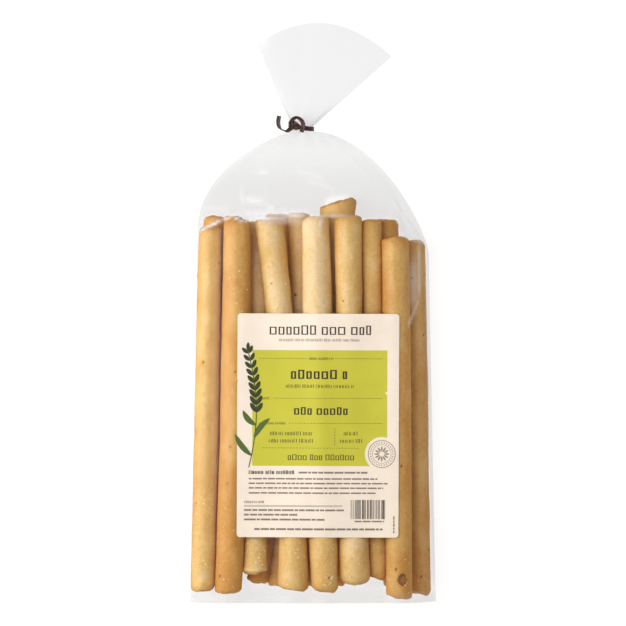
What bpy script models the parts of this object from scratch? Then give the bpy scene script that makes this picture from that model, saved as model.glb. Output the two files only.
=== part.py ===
"""Grissini in a clear gusseted bag that lies on its back, with its label and its twist tie.

Run with: blender --background --python part.py
The bag's front faces +Z and its tied mouth points along +Y. The origin is the middle of the
bag's footprint, on the surface that it lies on. The clear bag is sealed, so it is one solid
with what it holds: the front layer of breadsticks shows as ribs under the film.
"""

import math
from typing import NamedTuple

import bmesh
import bpy
from mathutils import Vector

MM = 0.001

# Filled body of the bag
BAG_Y = 158.3 * MM  # the folded bottom lies at -BAG_Y and the top of the fanned mouth at +BAG_Y
BASE_HALF_WIDTH = 67.0 * MM  # at the folded bottom
SIDE_MID_HEIGHT = 12.0 * MM  # the height of the body's side edges
SQUARENESS = 5.0  # exponent of the rounded-box section
SIDE_FACET_SLOPE = 1.05  # the film slants from the front down to the right side edge, since
# only the back layer of breadsticks reaches that side
CROWN_HEIGHT = 30.4 * MM  # the highest line of the front
CROWN_X = -5.0 * MM  # where that line lies
CROWN_FALL = 1.3  # the front falls by this times the squared distance from that line, in metres
BOTTOM_EDGE_HEIGHT = 15.0 * MM  # the front edge of the folded bottom
BOTTOM_ROUNDING = 12.0 * MM  # over this length the front rises from that edge

# Ribs of the front layer of breadsticks
VALLEY_DEPTH = 2.4 * MM  # how far the film sinks between two breadsticks
VALLEY_SPACING = 15.0 * MM  # at this distance between their crests
END_STEP = 3.4 * MM  # how far the film steps down past a breadstick's end
END_RUN = 9.0 * MM

# Shoulders, neck and fanned mouth
NECK = Vector((-6.2 * MM, 101.0 * MM, 12.0 * MM))
NECK_HALF_WIDTH = 5.6 * MM
NECK_HALF_HEIGHT = 2.8 * MM
SHOULDER_END_Y = 98.8 * MM
DOME_TOP = 26.5 * MM
PLEATS = 13  # gathers round the neck
PLEAT_DEPTH = 0.22  # share of the radius
FAN_LEFT = Vector((-30.2 * MM, 147.0 * MM))
FAN_TOP = Vector((6.5 * MM, BAG_Y))
FAN_RIGHT = Vector((43.0 * MM, 140.2 * MM))
FAN_RIM_HEIGHT = 5.0 * MM  # the mouth droops to this height
FAN_THICKNESS = 1.6 * MM
FAN_FOLDS = 5
FAN_FOLD_HEIGHT = 2.4 * MM

# Mesh of the bag
RING_HALF = 44  # points across the front, and across the back
BODY_STATIONS = 13
SHOULDER_STATIONS = 12
FAN_STATIONS = 8

# Label
LABEL_CENTRE = Vector((2.7 * MM, -61.2 * MM))
LABEL_WIDTH = 87.5 * MM
LABEL_LENGTH = 121.2 * MM
LABEL_CORNER = 3.0 * MM
LABEL_THICKNESS = 0.4 * MM
LABEL_GAP = 0.35 * MM  # between the bag's solid and the label

# Twist tie
TIE_WIDTH = 2.3 * MM
TIE_THICKNESS = 0.7 * MM
TIE_CHAMFER = 0.2 * MM
TIE_STEPS = 4  # sections from one station of its path to the next


class Shoulder(NamedTuple):
    """Where a side edge starts to round over, and the exponents of that round line."""

    x: float
    y: float
    power_x: float
    power_y: float


LEFT_SHOULDER = Shoulder(-63.0 * MM, 44.0 * MM, 1.2, 2.2)
RIGHT_SHOULDER = Shoulder(63.2 * MM, 32.0 * MM, 1.9, 1.3)


class Crest(NamedTuple):
    """The line of one breadstick of the front layer, from its low end to its high end."""

    x_low: float
    x_high: float
    y_low: float
    y_high: float

    def x_at(self, y):
        share = (y - self.y_low) / (self.y_high - self.y_low)
        return (self.x_low + (self.x_high - self.x_low) * share) * MM


FRONT_LAYER = (  # millimetres, from left to right
    Crest(-60.0, -56.8, -151.0, 47.0),
    Crest(-45.5, -41.4, -152.5, 51.0),
    Crest(-32.4, -30.0, -142.0, 48.5),
    Crest(-11.5, -24.0, -150.5, 51.5),
    Crest(5.8, 2.8, -151.5, 53.0),
    Crest(22.2, 18.4, -147.5, 52.5),
    Crest(35.8, 32.2, -149.0, 51.5),
    Crest(47.4, 44.0, -155.0, 41.5),
)


class Station(NamedTuple):
    """A station of the tie's path, in millimetres from the neck's middle, and how far its
    flat face turns from facing out of the neck (0) to standing on edge (90 degrees)."""

    x: float
    y: float
    z: float
    edge_turn: float


TIE_PATH = (
    Station(-12.2, 6.4, 6.4, 60),
    Station(-12.9, 3.2, 5.6, 75),
    Station(-11.9, 0.4, 4.9, 85),
    Station(-9.6, -1.6, 4.6, 85),
    Station(-7.3, -1.8, 4.6, 70),
    Station(-5.2, -0.6, 4.6, 35),
    Station(-2.6, 0.1, 4.3, 0),
    Station(1.2, -0.1, 3.9, 0),
    Station(4.6, -0.4, 3.1, 0),
    Station(6.7, -0.5, 0.3, 0),
    Station(4.6, -0.3, -2.9, 0),
    Station(0.0, 0.2, -3.8, 0),
    Station(-4.8, 0.7, -2.9, 0),
    Station(-7.0, 1.4, 0.3, 0),
    Station(-6.7, 2.3, 4.0, 20),
    Station(-5.6, 3.8, 6.3, 60),
    Station(-2.9, 5.2, 7.4, 85),
    Station(-0.4, 3.8, 7.4, 85),
    Station(0.8, 0.6, 7.0, 85),
    Station(-0.3, -2.6, 6.6, 85),
)


def smooth_step(value):
    share = min(max(value, 0.0), 1.0)
    return share * share * (3 - 2 * share)


def mix(start, end, share):
    return start + (end - start) * share


def rounded(value, power_x, power_y):
    """Half-width share of a superellipse at this share of its height."""
    return max(0.0, 1 - min(max(value, 0.0), 1.0) ** power_y) ** (1 / power_x)


def pillow_height(x):
    """The smooth, crowned front of the filled bag, which the label follows."""
    return CROWN_HEIGHT - CROWN_FALL * (x - CROWN_X) ** 2


def sheet_height(x, y):
    """Height of the front without its ribs, at a point of the straight part of the body."""
    left = side_edge(y, LEFT_SHOULDER)
    right = side_edge(y, RIGHT_SHOULDER)
    share = (2 * x - left - right) / (right - left)
    return mix(SIDE_MID_HEIGHT, pillow_height(x), box_profile(share, SQUARENESS))


def label_holds(x, y):
    """1 under the label, which keeps the film flat, fading to 0 just outside it."""
    fade = 3 * MM
    outside_x = abs(x - LABEL_CENTRE.x) - LABEL_WIDTH / 2
    outside_y = abs(y - LABEL_CENTRE.y) - LABEL_LENGTH / 2
    return 1 - smooth_step(max(outside_x, outside_y) / fade)


def rib_drop(x, y):
    """How far the film lies below the pillow at a point, between and past the breadsticks."""
    lines = [(crest.x_at(y), crest) for crest in FRONT_LAYER]
    after = next((i for i, (line, _) in enumerate(lines) if line > x), len(lines))
    first = max(after - 1, 0)
    second = min(after, len(lines) - 1)
    spacing = lines[second][0] - lines[first][0]
    share = (x - lines[first][0]) / spacing if spacing > 0 else 0.0
    valley = VALLEY_DEPTH * min(spacing / VALLEY_SPACING, 1.2) * math.sin(math.pi * share) ** 2
    end_y = mix(lines[first][1].y_high, lines[second][1].y_high, smooth_step(share)) * MM
    past_end = smooth_step((y - end_y) / END_RUN)
    return mix(valley, END_STEP, past_end) * (1 - label_holds(x, y))


def shoulder_share(y, shoulder):
    return (y - shoulder.y) / (SHOULDER_END_Y - shoulder.y)


def side_edge(y, shoulder):
    """X of the left or right edge of the body and the shoulders at a station."""
    if y <= shoulder.y:
        base_x = math.copysign(BASE_HALF_WIDTH, shoulder.x)
        return mix(base_x, shoulder.x, (y + BAG_Y) / (shoulder.y + BAG_Y))
    neck_x = NECK.x + math.copysign(NECK_HALF_WIDTH, shoulder.x)
    width = rounded(shoulder_share(y, shoulder), shoulder.power_x, shoulder.power_y)
    return mix(neck_x, shoulder.x, width)


ACROSS = tuple(  # shares from -1 to 1 across the bag, closer together at its side edges
    mix(even, math.sin(math.pi / 2 * even), 0.4)
    for even in (2 * step / RING_HALF - 1 for step in range(RING_HALF + 1))
)


def ring_of(point_at):
    """A closed ring: across the front from left to right, then back across the underside."""
    front = [point_at(share, 1) for share in ACROSS]
    back = [point_at(share, -1) for share in reversed(ACROSS[1:-1])]
    return front + back


def gather(share, side, amount):
    """Radius factor of the pleats that gather the film towards the neck."""
    turn = math.acos(share) / (2 * math.pi)
    turn = turn if side > 0 else 1 - turn
    return 1 - amount * PLEAT_DEPTH * (0.5 - 0.5 * math.cos(2 * math.pi * PLEATS * turn))


def box_profile(share, squareness):
    return (1 - abs(share) ** squareness) ** (1 / squareness)


def body_ring(y):
    """Section of the body or of the shoulders at y."""
    left = side_edge(y, LEFT_SHOULDER)
    right = side_edge(y, RIGHT_SHOULDER)
    middle = (left + right) / 2
    closing = min(max(shoulder_share(y, LEFT_SHOULDER), 0.0), 1.0)
    mid_height = mix(SIDE_MID_HEIGHT, NECK.z, smooth_step(closing))
    softening = smooth_step(1.25 * closing)
    dome = NECK.z + NECK_HALF_HEIGHT + (DOME_TOP - NECK.z) * rounded(closing, 1.7, 2.3)
    underside = (NECK.z - NECK_HALF_HEIGHT) * (1 - rounded(closing, 1.5, 2.6))
    rise = smooth_step((y + BAG_Y) / BOTTOM_ROUNDING) ** 0.6
    pleats = smooth_step((closing - 0.5) / 0.5)

    def point_at(share, side):
        x = mix(left, right, (share + 1) / 2)
        profile = box_profile(share, mix(SQUARENESS, 2.0, softening))
        if side > 0:
            front = mix(BOTTOM_EDGE_HEIGHT, pillow_height(x) - rib_drop(x, y), rise)
            front = min(front, dome + max(0.0, pillow_height(x) - DOME_TOP) * (1 - closing) ** 3)
            facet = mid_height + (right - x) * (SIDE_FACET_SLOPE + 3 * closing)
            z = min(mix(mid_height, front, profile), facet)
        else:
            z = max(underside, mix(mid_height, underside, 1.15 * profile))
        pull = gather(share, side, pleats)
        return Vector((mix(middle, x, pull), y, mix(mid_height, z, pull)))

    return ring_of(point_at)


def rim_point(across):
    """A point of the mouth's cut edge, on the arc through its two corners and its top."""
    middle = FAN_LEFT.lerp(FAN_RIGHT, 0.5)
    rise = 1 - (2 * across - 1) ** 2
    return FAN_LEFT.lerp(FAN_RIGHT, across) + (FAN_TOP - middle) * rise


def fan_ring(spread):
    """Section of the fanned mouth, from the tie at 0 to its rim at 1."""
    thick = mix(NECK_HALF_HEIGHT, FAN_THICKNESS / 2, smooth_step(1.6 * spread))
    height = mix(NECK.z, FAN_RIM_HEIGHT, smooth_step(spread))
    pleats = 1 - smooth_step(2 * spread)

    def point_at(share, side):
        across = (share + 1) / 2
        start = Vector((NECK.x + NECK_HALF_WIDTH * share, NECK.y))
        flat = start.lerp(rim_point(across), spread)
        ripple = math.sin(math.pi * FAN_FOLDS * across) * (1 - share**4)
        fold = FAN_FOLD_HEIGHT * spread**0.8 * ripple
        pull = gather(share, side, pleats)
        z = height + fold + side * thick * pull * box_profile(share, 2.4)
        return Vector((mix(NECK.x, flat.x, mix(1.0, pull, 1 - spread)), flat.y, z))

    return ring_of(point_at)


def bag_rings():
    bottom = [0.0, 0.5 * MM, 1.6 * MM, 3.8 * MM, 8.0 * MM]
    yield from (body_ring(lift - BAG_Y) for lift in bottom)
    start = bottom[-1] - BAG_Y
    for step in range(1, BODY_STATIONS + 1):
        yield body_ring(mix(start, LEFT_SHOULDER.y, step / BODY_STATIONS))
    for step in range(1, SHOULDER_STATIONS + 1):
        share = math.sin(math.pi / 2 * step / SHOULDER_STATIONS)
        yield body_ring(mix(LEFT_SHOULDER.y, SHOULDER_END_Y, share))
    yield from (fan_ring(step / FAN_STATIONS) for step in range(FAN_STATIONS + 1))


def join_rings(bm, rings):
    """The faces of a loft between rings with as many points each."""
    for ring, following in zip(rings, rings[1:]):
        for step, corner in enumerate(ring):
            before = step - 1
            bm.faces.new((ring[before], corner, following[step], following[before]))


def close_end(bm, ring):
    """Closes an end of the bag with a strip from its front points to its back points."""
    count = len(ring)
    for step in range(RING_HALF):
        corners = [ring[step], ring[step + 1], ring[(count - step - 1) % count]]
        if step > 0:
            corners.append(ring[(count - step) % count])
        if step == RING_HALF - 1:
            corners = [ring[step], ring[step + 1], ring[step + 2]]
        bm.faces.new(corners)


def object_from(bm, name):
    bmesh.ops.recalc_face_normals(bm, faces=bm.faces)
    mesh = bpy.data.meshes.new(name)
    bm.to_mesh(mesh)
    bm.free()
    made = bpy.data.objects.new(name, mesh)
    parts.objects.link(made)
    return made


def make_bag():
    """The loft along the bag: folded bottom, ribbed body, shoulders, neck and fanned mouth."""
    bm = bmesh.new()
    rings = [[bm.verts.new(point) for point in ring] for ring in bag_rings()]
    join_rings(bm, rings)
    close_end(bm, rings[0])
    close_end(bm, rings[-1])
    return object_from(bm, "bag")


def make_label():
    """A thin label with round corners, bent over the bag's crowned front."""
    bm = bmesh.new()
    bmesh.ops.create_grid(bm, x_segments=1, y_segments=1, size=0.5)
    bmesh.ops.scale(bm, vec=(LABEL_WIDTH, LABEL_LENGTH, 1), verts=bm.verts)
    bmesh.ops.bevel(
        bm, geom=bm.verts, offset=LABEL_CORNER, segments=4, profile=0.5, affect="VERTICES"
    )
    bmesh.ops.translate(bm, vec=(*LABEL_CENTRE, 0), verts=bm.verts)
    spans = ((LABEL_WIDTH, 12, (1, 0, 0)), (LABEL_LENGTH, 5, (0, 1, 0)))
    for span, count, normal in spans:
        for step in range(1, count):
            cut = Vector((*LABEL_CENTRE, 0)) + Vector(normal) * span * (step / count - 0.5)
            geometry = bm.verts[:] + bm.edges[:] + bm.faces[:]
            bmesh.ops.bisect_plane(bm, geom=geometry, plane_co=cut, plane_no=normal)
    for vert in bm.verts:
        vert.co.z = sheet_height(vert.co.x, vert.co.y) + LABEL_GAP
    label = object_from(bm, "label")
    solid = label.modifiers.new("thickness", "SOLIDIFY")
    solid.thickness = LABEL_THICKNESS
    solid.offset = 1.0
    return label


def smooth_path(stations, steps):
    """Points of a Catmull-Rom curve through the stations, with the turn at each point."""
    path = [Vector(station) for station in stations]
    ends = [2 * path[0] - path[1], *path, 2 * path[-1] - path[-2]]
    points = []
    for before, start, end, after in zip(ends, ends[1:], ends[2:], ends[3:]):
        for step in range(steps):
            t = step / steps
            points.append(
                0.5
                * (
                    2 * start
                    + (end - before) * t
                    + (2 * before - 5 * start + 4 * end - after) * t**2
                    + (3 * start - before - 3 * end + after) * t**3
                )
            )
    return [*points, path[-1]]


def tie_section(point, direction, edge_turn):
    """The strip's chamfered section at a point of its path, as a ring of points."""
    out = Vector((point.x, 0, point.z)).normalized()  # away from the neck's axis
    across = direction.cross(out).normalized()
    out = across.cross(direction).normalized()
    turn = math.radians(edge_turn)
    wide = across * math.cos(turn) + out * math.sin(turn)
    thin = out * math.cos(turn) - across * math.sin(turn)
    half_wide = TIE_WIDTH / 2
    half_thin = TIE_THICKNESS / 2
    quarter = ((half_wide, half_thin - TIE_CHAMFER), (half_wide - TIE_CHAMFER, half_thin))
    mirrored = tuple((-w, t) for w, t in reversed(quarter))
    outline = quarter + mirrored
    outline += tuple((-w, -t) for w, t in outline)
    return [NECK + point * MM + wide * w + thin * t for w, t in outline]


def make_tie():
    """The flat strip: a curled end, a band round the neck, and an end that arches over it."""
    bm = bmesh.new()
    curve = smooth_path(TIE_PATH, TIE_STEPS)
    points = [Vector(station[:3]) for station in curve]
    rings = []
    for index, point in enumerate(points):
        direction = points[min(index + 1, len(points) - 1)] - points[max(index - 1, 0)]
        section = tie_section(point, direction.normalized(), curve[index][3])
        rings.append([bm.verts.new(corner) for corner in section])
    join_rings(bm, rings)
    bm.faces.new(rings[0])
    bm.faces.new(rings[-1])
    return object_from(bm, "tie")


def paint(made, name, colour, roughness):
    """Gives the part a plain material; none of the three is metallic."""
    material = bpy.data.materials.new(name)
    material.use_nodes = True
    shader = material.node_tree.nodes["Principled BSDF"]
    shader.inputs["Base Color"].default_value = (*colour, 1)
    shader.inputs["Roughness"].default_value = roughness
    shader.inputs["Metallic"].default_value = 0.0
    made.data.materials.append(material)


for leftover in list(bpy.data.objects):
    bpy.data.objects.remove(leftover)
parts = bpy.data.collections.new("grissini_bag")
bpy.context.scene.collection.children.link(parts)
paint(make_bag(), "film", (0.78, 0.57, 0.29), 0.25)
paint(make_label(), "label_paper", (0.86, 0.78, 0.66), 0.55)
paint(make_tie(), "tie_paper", (0.07, 0.016, 0.009), 0.5)
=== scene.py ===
"""A tied clear bag of grissini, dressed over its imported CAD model.

The bag lies on its back with its label up and its tied neck towards +Y. Each breadstick is
laid on those below it, the film is draped over them, and the label and its print follow the
film. Everything is in metres, in the CAD model's frame.
"""

import math
import random
from typing import NamedTuple

import bmesh
import bpy
import numpy as np
from bpy.props import FloatProperty, FloatVectorProperty, IntProperty, PointerProperty
from mathutils import Matrix, Vector, noise
from mathutils.bvhtree import BVHTree
from mathutils.geometry import delaunay_2d_cdt


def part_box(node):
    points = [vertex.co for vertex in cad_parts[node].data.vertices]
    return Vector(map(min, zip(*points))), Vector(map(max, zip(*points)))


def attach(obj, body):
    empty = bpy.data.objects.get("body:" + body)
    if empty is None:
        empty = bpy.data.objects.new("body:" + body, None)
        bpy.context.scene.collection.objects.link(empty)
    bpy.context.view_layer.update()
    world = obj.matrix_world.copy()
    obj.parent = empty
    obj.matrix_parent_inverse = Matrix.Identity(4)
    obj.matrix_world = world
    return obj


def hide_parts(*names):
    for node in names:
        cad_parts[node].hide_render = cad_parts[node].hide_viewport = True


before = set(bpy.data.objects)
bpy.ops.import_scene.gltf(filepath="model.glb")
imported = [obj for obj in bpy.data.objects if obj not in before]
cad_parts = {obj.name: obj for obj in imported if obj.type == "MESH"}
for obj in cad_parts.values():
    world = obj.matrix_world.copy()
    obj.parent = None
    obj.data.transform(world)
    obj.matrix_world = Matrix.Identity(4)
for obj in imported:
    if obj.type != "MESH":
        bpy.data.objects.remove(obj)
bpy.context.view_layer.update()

bl_info = {
    "name": "Bag of Grissini",
    "version": (1, 0, 0),
    "blender": (4, 5, 0),
    "location": "3D View > Sidebar > Grissini",
    "description": "Lays breadsticks in a clear tied bag with a label",
    "category": "Add Mesh",
}

MM = 0.001
BAG_LOW, BAG_HIGH = (Vector(corner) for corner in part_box("bag"))
LABEL_LOW, LABEL_HIGH = (Vector(corner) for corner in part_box("label"))
BOTTOM_Y = BAG_LOW.y + 0.8 * MM
MOUTH_Y = BAG_HIGH.y
SIDE_MID_HEIGHT = 12 * MM
NECK = Vector((-6.2, 101.0, 12.0)) * MM
NECK_HALF_WIDTH = 5.6 * MM
NECK_HALF_HEIGHT = 2.8 * MM
SHOULDER_END_Y = 98.8 * MM


def linear(code):
    """An sRGB hex colour, such as "#d2c849", as linear red, green and blue."""
    parts = (int(code[i : i + 2], 16) / 255 for i in (1, 3, 5))
    return tuple(p / 12.92 if p <= 0.04045 else ((p + 0.055) / 1.055) ** 2.4 for p in parts)


def colour_property(name, description, code):
    return FloatVectorProperty(
        name=name, description=description, subtype="COLOR", size=3, min=0, max=1,
        default=linear(code),
    )


class BreadstickSettings(bpy.types.PropertyGroup):
    """Sizes and colours of the breadsticks."""

    roughness_height: FloatProperty(
        name="Crust relief", description="Height of the lumps on the crust",
        default=0.32 * MM, unit="LENGTH",
    )
    points_round: IntProperty(
        name="Points round", description="Mesh points round a breadstick", default=52,
    )
    point_spacing: FloatProperty(
        name="Point spacing", description="Spacing of mesh points along a breadstick",
        default=0.8 * MM, unit="LENGTH",
    )
    pale: colour_property("Pale crust", "Least baked crust", "#f0d09c")
    golden: colour_property("Golden crust", "Most of the crust", "#e2b86f")
    brown: colour_property("Brown crust", "Most baked crust", "#ce9346")


class FilmSettings(bpy.types.PropertyGroup):
    """Sizes of the bag's film."""

    clearance: FloatProperty(
        name="Clearance", description="Gap between the film and what it lies on",
        default=0.35 * MM, unit="LENGTH",
    )
    crumple: FloatProperty(
        name="Crumple", description="Height of the creased facets where the bag is empty",
        default=1.5 * MM, unit="LENGTH",
    )
    pleats: IntProperty(name="Pleats", description="Gathers round the neck", default=15)


class LabelSettings(bpy.types.PropertyGroup):
    """Sizes and colours of the label."""

    thickness: FloatProperty(
        name="Thickness", description="Thickness of the label's paper",
        default=0.15 * MM, unit="LENGTH",
    )
    corner: FloatProperty(
        name="Corner radius", description="Radius of the label's corners",
        default=1.8 * MM, unit="LENGTH",
    )
    paper: colour_property("Paper", "Cream of the label's paper", "#f8e8d5")
    panel: colour_property("Panel", "Lime of the printed panel", "#cbc43f")
    ink: colour_property("Ink", "Dark ink of the print", "#3d342b")


class TieSettings(bpy.types.PropertyGroup):
    """Size and colour of the twist tie."""

    width: FloatProperty(
        name="Width", description="Width of the strip", default=2.3 * MM, unit="LENGTH",
    )
    paper: colour_property("Paper", "Colour of the strip's paper", "#43201a")


# --------------------------------------------------------------------------- shared shapes


def smooth_step(value):
    share = np.clip(value, 0.0, 1.0)
    return share * share * (3 - 2 * share)


def mix(start, end, share):
    return start + (end - start) * share


def rounded(value, power_x, power_y):
    """Half-width share of a superellipse at this share of its height."""
    return max(0.0, 1 - min(max(value, 0.0), 1.0) ** power_y) ** (1 / power_x)


def box_profile(share, squareness):
    return max(0.0, 1 - abs(share) ** squareness) ** (1 / squareness)


def piece_from(bm, name, slot, *nodes, smooth=True):
    """A finished piece from a bmesh: it rides the root and replaces nodes; its slot is not used."""
    mesh = bpy.data.meshes.new(name)
    bm.to_mesh(mesh)
    bm.free()
    for polygon in mesh.polygons:
        polygon.use_smooth = smooth
    made = bpy.data.objects.new(name, mesh)
    bpy.context.scene.collection.objects.link(made)
    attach(made, "root")
    if nodes:
        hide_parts(*nodes)
    return made


def add(tree, kind, inputs=None, stops=None, **settings):
    """Adds a shader node with its settings, and its inputs as values or as links from outputs.
    stops are a colour ramp's (position, colour) pairs."""
    made = tree.nodes.new("ShaderNode" + kind)
    for name, value in settings.items():
        setattr(made, name, value)
    for socket, value in (inputs or {}).items():
        if isinstance(value, bpy.types.NodeSocket):
            tree.links.new(value, made.inputs[socket])
        else:
            made.inputs[socket].default_value = value
    if stops:
        points = made.color_ramp.elements
        while len(points) < len(stops):
            points.new(0.5)
        for point, (position, colour) in zip(points, stops):
            point.position = position
            point.color = (*colour, 1)
    return made


def new_material(name):
    """An empty node material and its output node."""
    material = bpy.data.materials.new(name)
    material.use_nodes = True
    tree = material.node_tree
    tree.nodes.clear()
    return material, tree, add(tree, "OutputMaterial")


# ------------------------------------------------------------------------------ breadsticks


class Breadstick(NamedTuple):
    """One breadstick, in millimetres: its line and its radius at its high end, middle and
    low end, how dark it is baked at its high and low ends from 0 to 1, how slanted its high
    end is broken, and how far a lip stands out round its low end."""

    name: str
    x: tuple
    ends: tuple
    radius: tuple
    bake: tuple
    slant: float = 0.0
    lip: float = 0.0

    def bend(self, values, y):
        high, middle, low = values
        t = (y / MM - self.ends[1]) / (self.ends[0] - self.ends[1])
        bow = 4 * middle - 2 * (high + low)
        return (low + (high - low) * t + bow * t * (1 - t)) * MM

    def x_at(self, y):
        return self.bend(self.x, y)

    def radius_at(self, y):
        return self.bend(self.radius, y)


# In the order in which they are laid, so each rests on the film or on those before it.
BREADSTICKS = (
    Breadstick("back_a", (-53.7, -56.4, -60.0), (53.4, -150.5), (5.6, 5.6, 5.9), (0.50, 0.60)),
    Breadstick("back_b", (-43.1, -45.0, -46.2), (53, -149), (5.2, 5.7, 5.5), (0.50, 0.65)),
    Breadstick("back_c", (-19.7, -20.2, -30.2), (54.4, -148.4), (5.9, 5.8, 5.9), (0.46, 0.64)),
    # back_d's high end is baked paler as painted light, lifting it out of the shade it lies in between
    # front_c and front_d
    Breadstick("back_d", (-7.9, -8.3, -18.4), (54.8, -149.5), (6.0, 6.0, 6.0), (0.36, 0.60)),
    Breadstick("back_e", (14.1, 6.8, -0.5), (63.6, -150), (7.6, 6.0, 6.0), (0.36, 0.56), 0.42),
    Breadstick("back_f", (28.0, 19.8, 11.6), (47, -150), (5.7, 5.7, 5.5), (0.55, 0.70)),
    Breadstick("back_g", (40.0, 43.2, 44.8), (51.2, -149.4), (5.8, 5.6, 6.0), (0.60, 0.75)),
    Breadstick("back_h", (54.3, 56.1, 57.6), (39.8, -154.6), (6.3, 6.4, 6.3), (0.52, 0.66)),
    Breadstick("middle_a", (-31.2, -29.7, -31.8), (50.2, -142.4), (5.8, 6.1, 6.5), (0.18, 0.30), 0.0, 0.7),
    Breadstick("middle_b", (31.3, 33.5, 35.6), (51, -146), (5.7, 5.7, 5.7), (0.42, 0.58)),
    Breadstick("front_a", (-55.7, -57.6, -59.9), (46.8, -152.2), (6.4, 6.6, 6.7), (0.40, 0.42)),
    Breadstick("front_b", (-41.3, -42.5, -46.1), (50.6, -153), (7.3, 7.9, 7.3), (0.60, 0.86)),
    Breadstick("front_c", (-24.3, -14.0, -10.7), (50.9, -151.2), (7.8, 7.3, 8.3), (0.16, 0.38)),
    Breadstick("front_d", (1.4, 3.6, 6.3), (52.7, -152.2), (7.3, 8.2, 7.4), (0.00, 0.37)),
    Breadstick("front_e", (18.9, 20.6, 22.8), (52.5, -148.6), (7.5, 7.5, 8.3), (0.34, 0.22)),
    Breadstick("front_f", (44.7, 45.9, 46.9), (41.3, -156), (7.3, 7.4, 7.2), (0.56, 0.76)),
)
FILM_BELOW = 1.1 * MM  # under the back layer of breadsticks
STATIONS = np.linspace(-157 * MM, 64 * MM, 443)
END_ROUND = 3.6 * MM


class Laid(NamedTuple):
    """A breadstick in its place, sampled at STATIONS: where it runs, its axis and radius."""

    stick: Breadstick
    present: np.ndarray
    x: np.ndarray
    z: np.ndarray
    radius: np.ndarray


def resting_line(y, least, centre):
    """The line over the points (y, least) that a nearly level stick would settle on: as low as
    it will go at its middle, and not tipped further than that is worth."""
    slopes = np.linspace(-0.12, 0.12, 481)
    starts = (least[None, :] - slopes[:, None] * (y - centre)[None, :]).max(axis=1)
    cost = starts + 0.15 * np.abs(slopes) * (y[-1] - y[0])
    best = int(np.argmin(cost))
    return starts[best] + slopes[best] * (y - centre)


def lay_all():
    """Every breadstick in its resting place."""
    laid = []
    for stick in BREADSTICKS:
        high, low = (end * MM for end in stick.ends)
        present = (STATIONS >= low) & (STATIONS <= high)
        x = stick.x_at(STATIONS)
        radius = stick.radius_at(STATIONS)
        least = radius + FILM_BELOW
        for other in laid:
            reach = radius + other.radius
            aside = np.abs(x - other.x)
            touch = other.present & (aside < reach)
            over = other.z + np.sqrt(np.maximum(reach**2 - aside**2, 0))
            least = np.where(touch, np.maximum(least, over), least)
        z = np.zeros_like(x)
        z[present] = resting_line(STATIONS[present], least[present], (high + low) / 2)
        laid.append(Laid(stick, present, x, z, radius))
    return laid


LAID = lay_all()


def axis_of(stick_laid, y):
    """(x, z, radius) of a laid breadstick at y, run on straight past its ends."""
    here = stick_laid.present
    ys = STATIONS[here]
    values = []
    for samples in (stick_laid.x[here], stick_laid.z[here], stick_laid.radius[here]):
        inside = np.interp(y, ys, samples)
        slope_low = (samples[1] - samples[0]) / (ys[1] - ys[0])
        slope_high = (samples[-1] - samples[-2]) / (ys[-1] - ys[-2])
        inside = np.where(y < ys[0], samples[0] + slope_low * (y - ys[0]), inside)
        inside = np.where(y > ys[-1], samples[-1] + slope_high * (y - ys[-1]), inside)
        values.append(inside)
    return values


def crust_relief(seed, place, along_share, angle, height):
    """How far the crust stands out at a place: slow swells, lumps, and a grainy skin."""
    offset = Vector((seed * 7.3, seed * 3.1, seed * 5.7))
    swell = noise.noise(offset + Vector((place.x * 30, place.y * 22, place.z * 30)))
    lumps = noise.noise(offset + Vector((place.x * 130, place.y * 90, place.z * 130)))
    grain = noise.noise(offset + place * 520)
    fine = noise.noise(offset + place * 1100)
    spiral = math.sin(angle * 2 + along_share * 9 + seed) * 0.5
    return height * (1.3 * swell + 0.75 * lumps + 0.28 * grain + 0.16 * fine + 0.35 * spiral)


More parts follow.
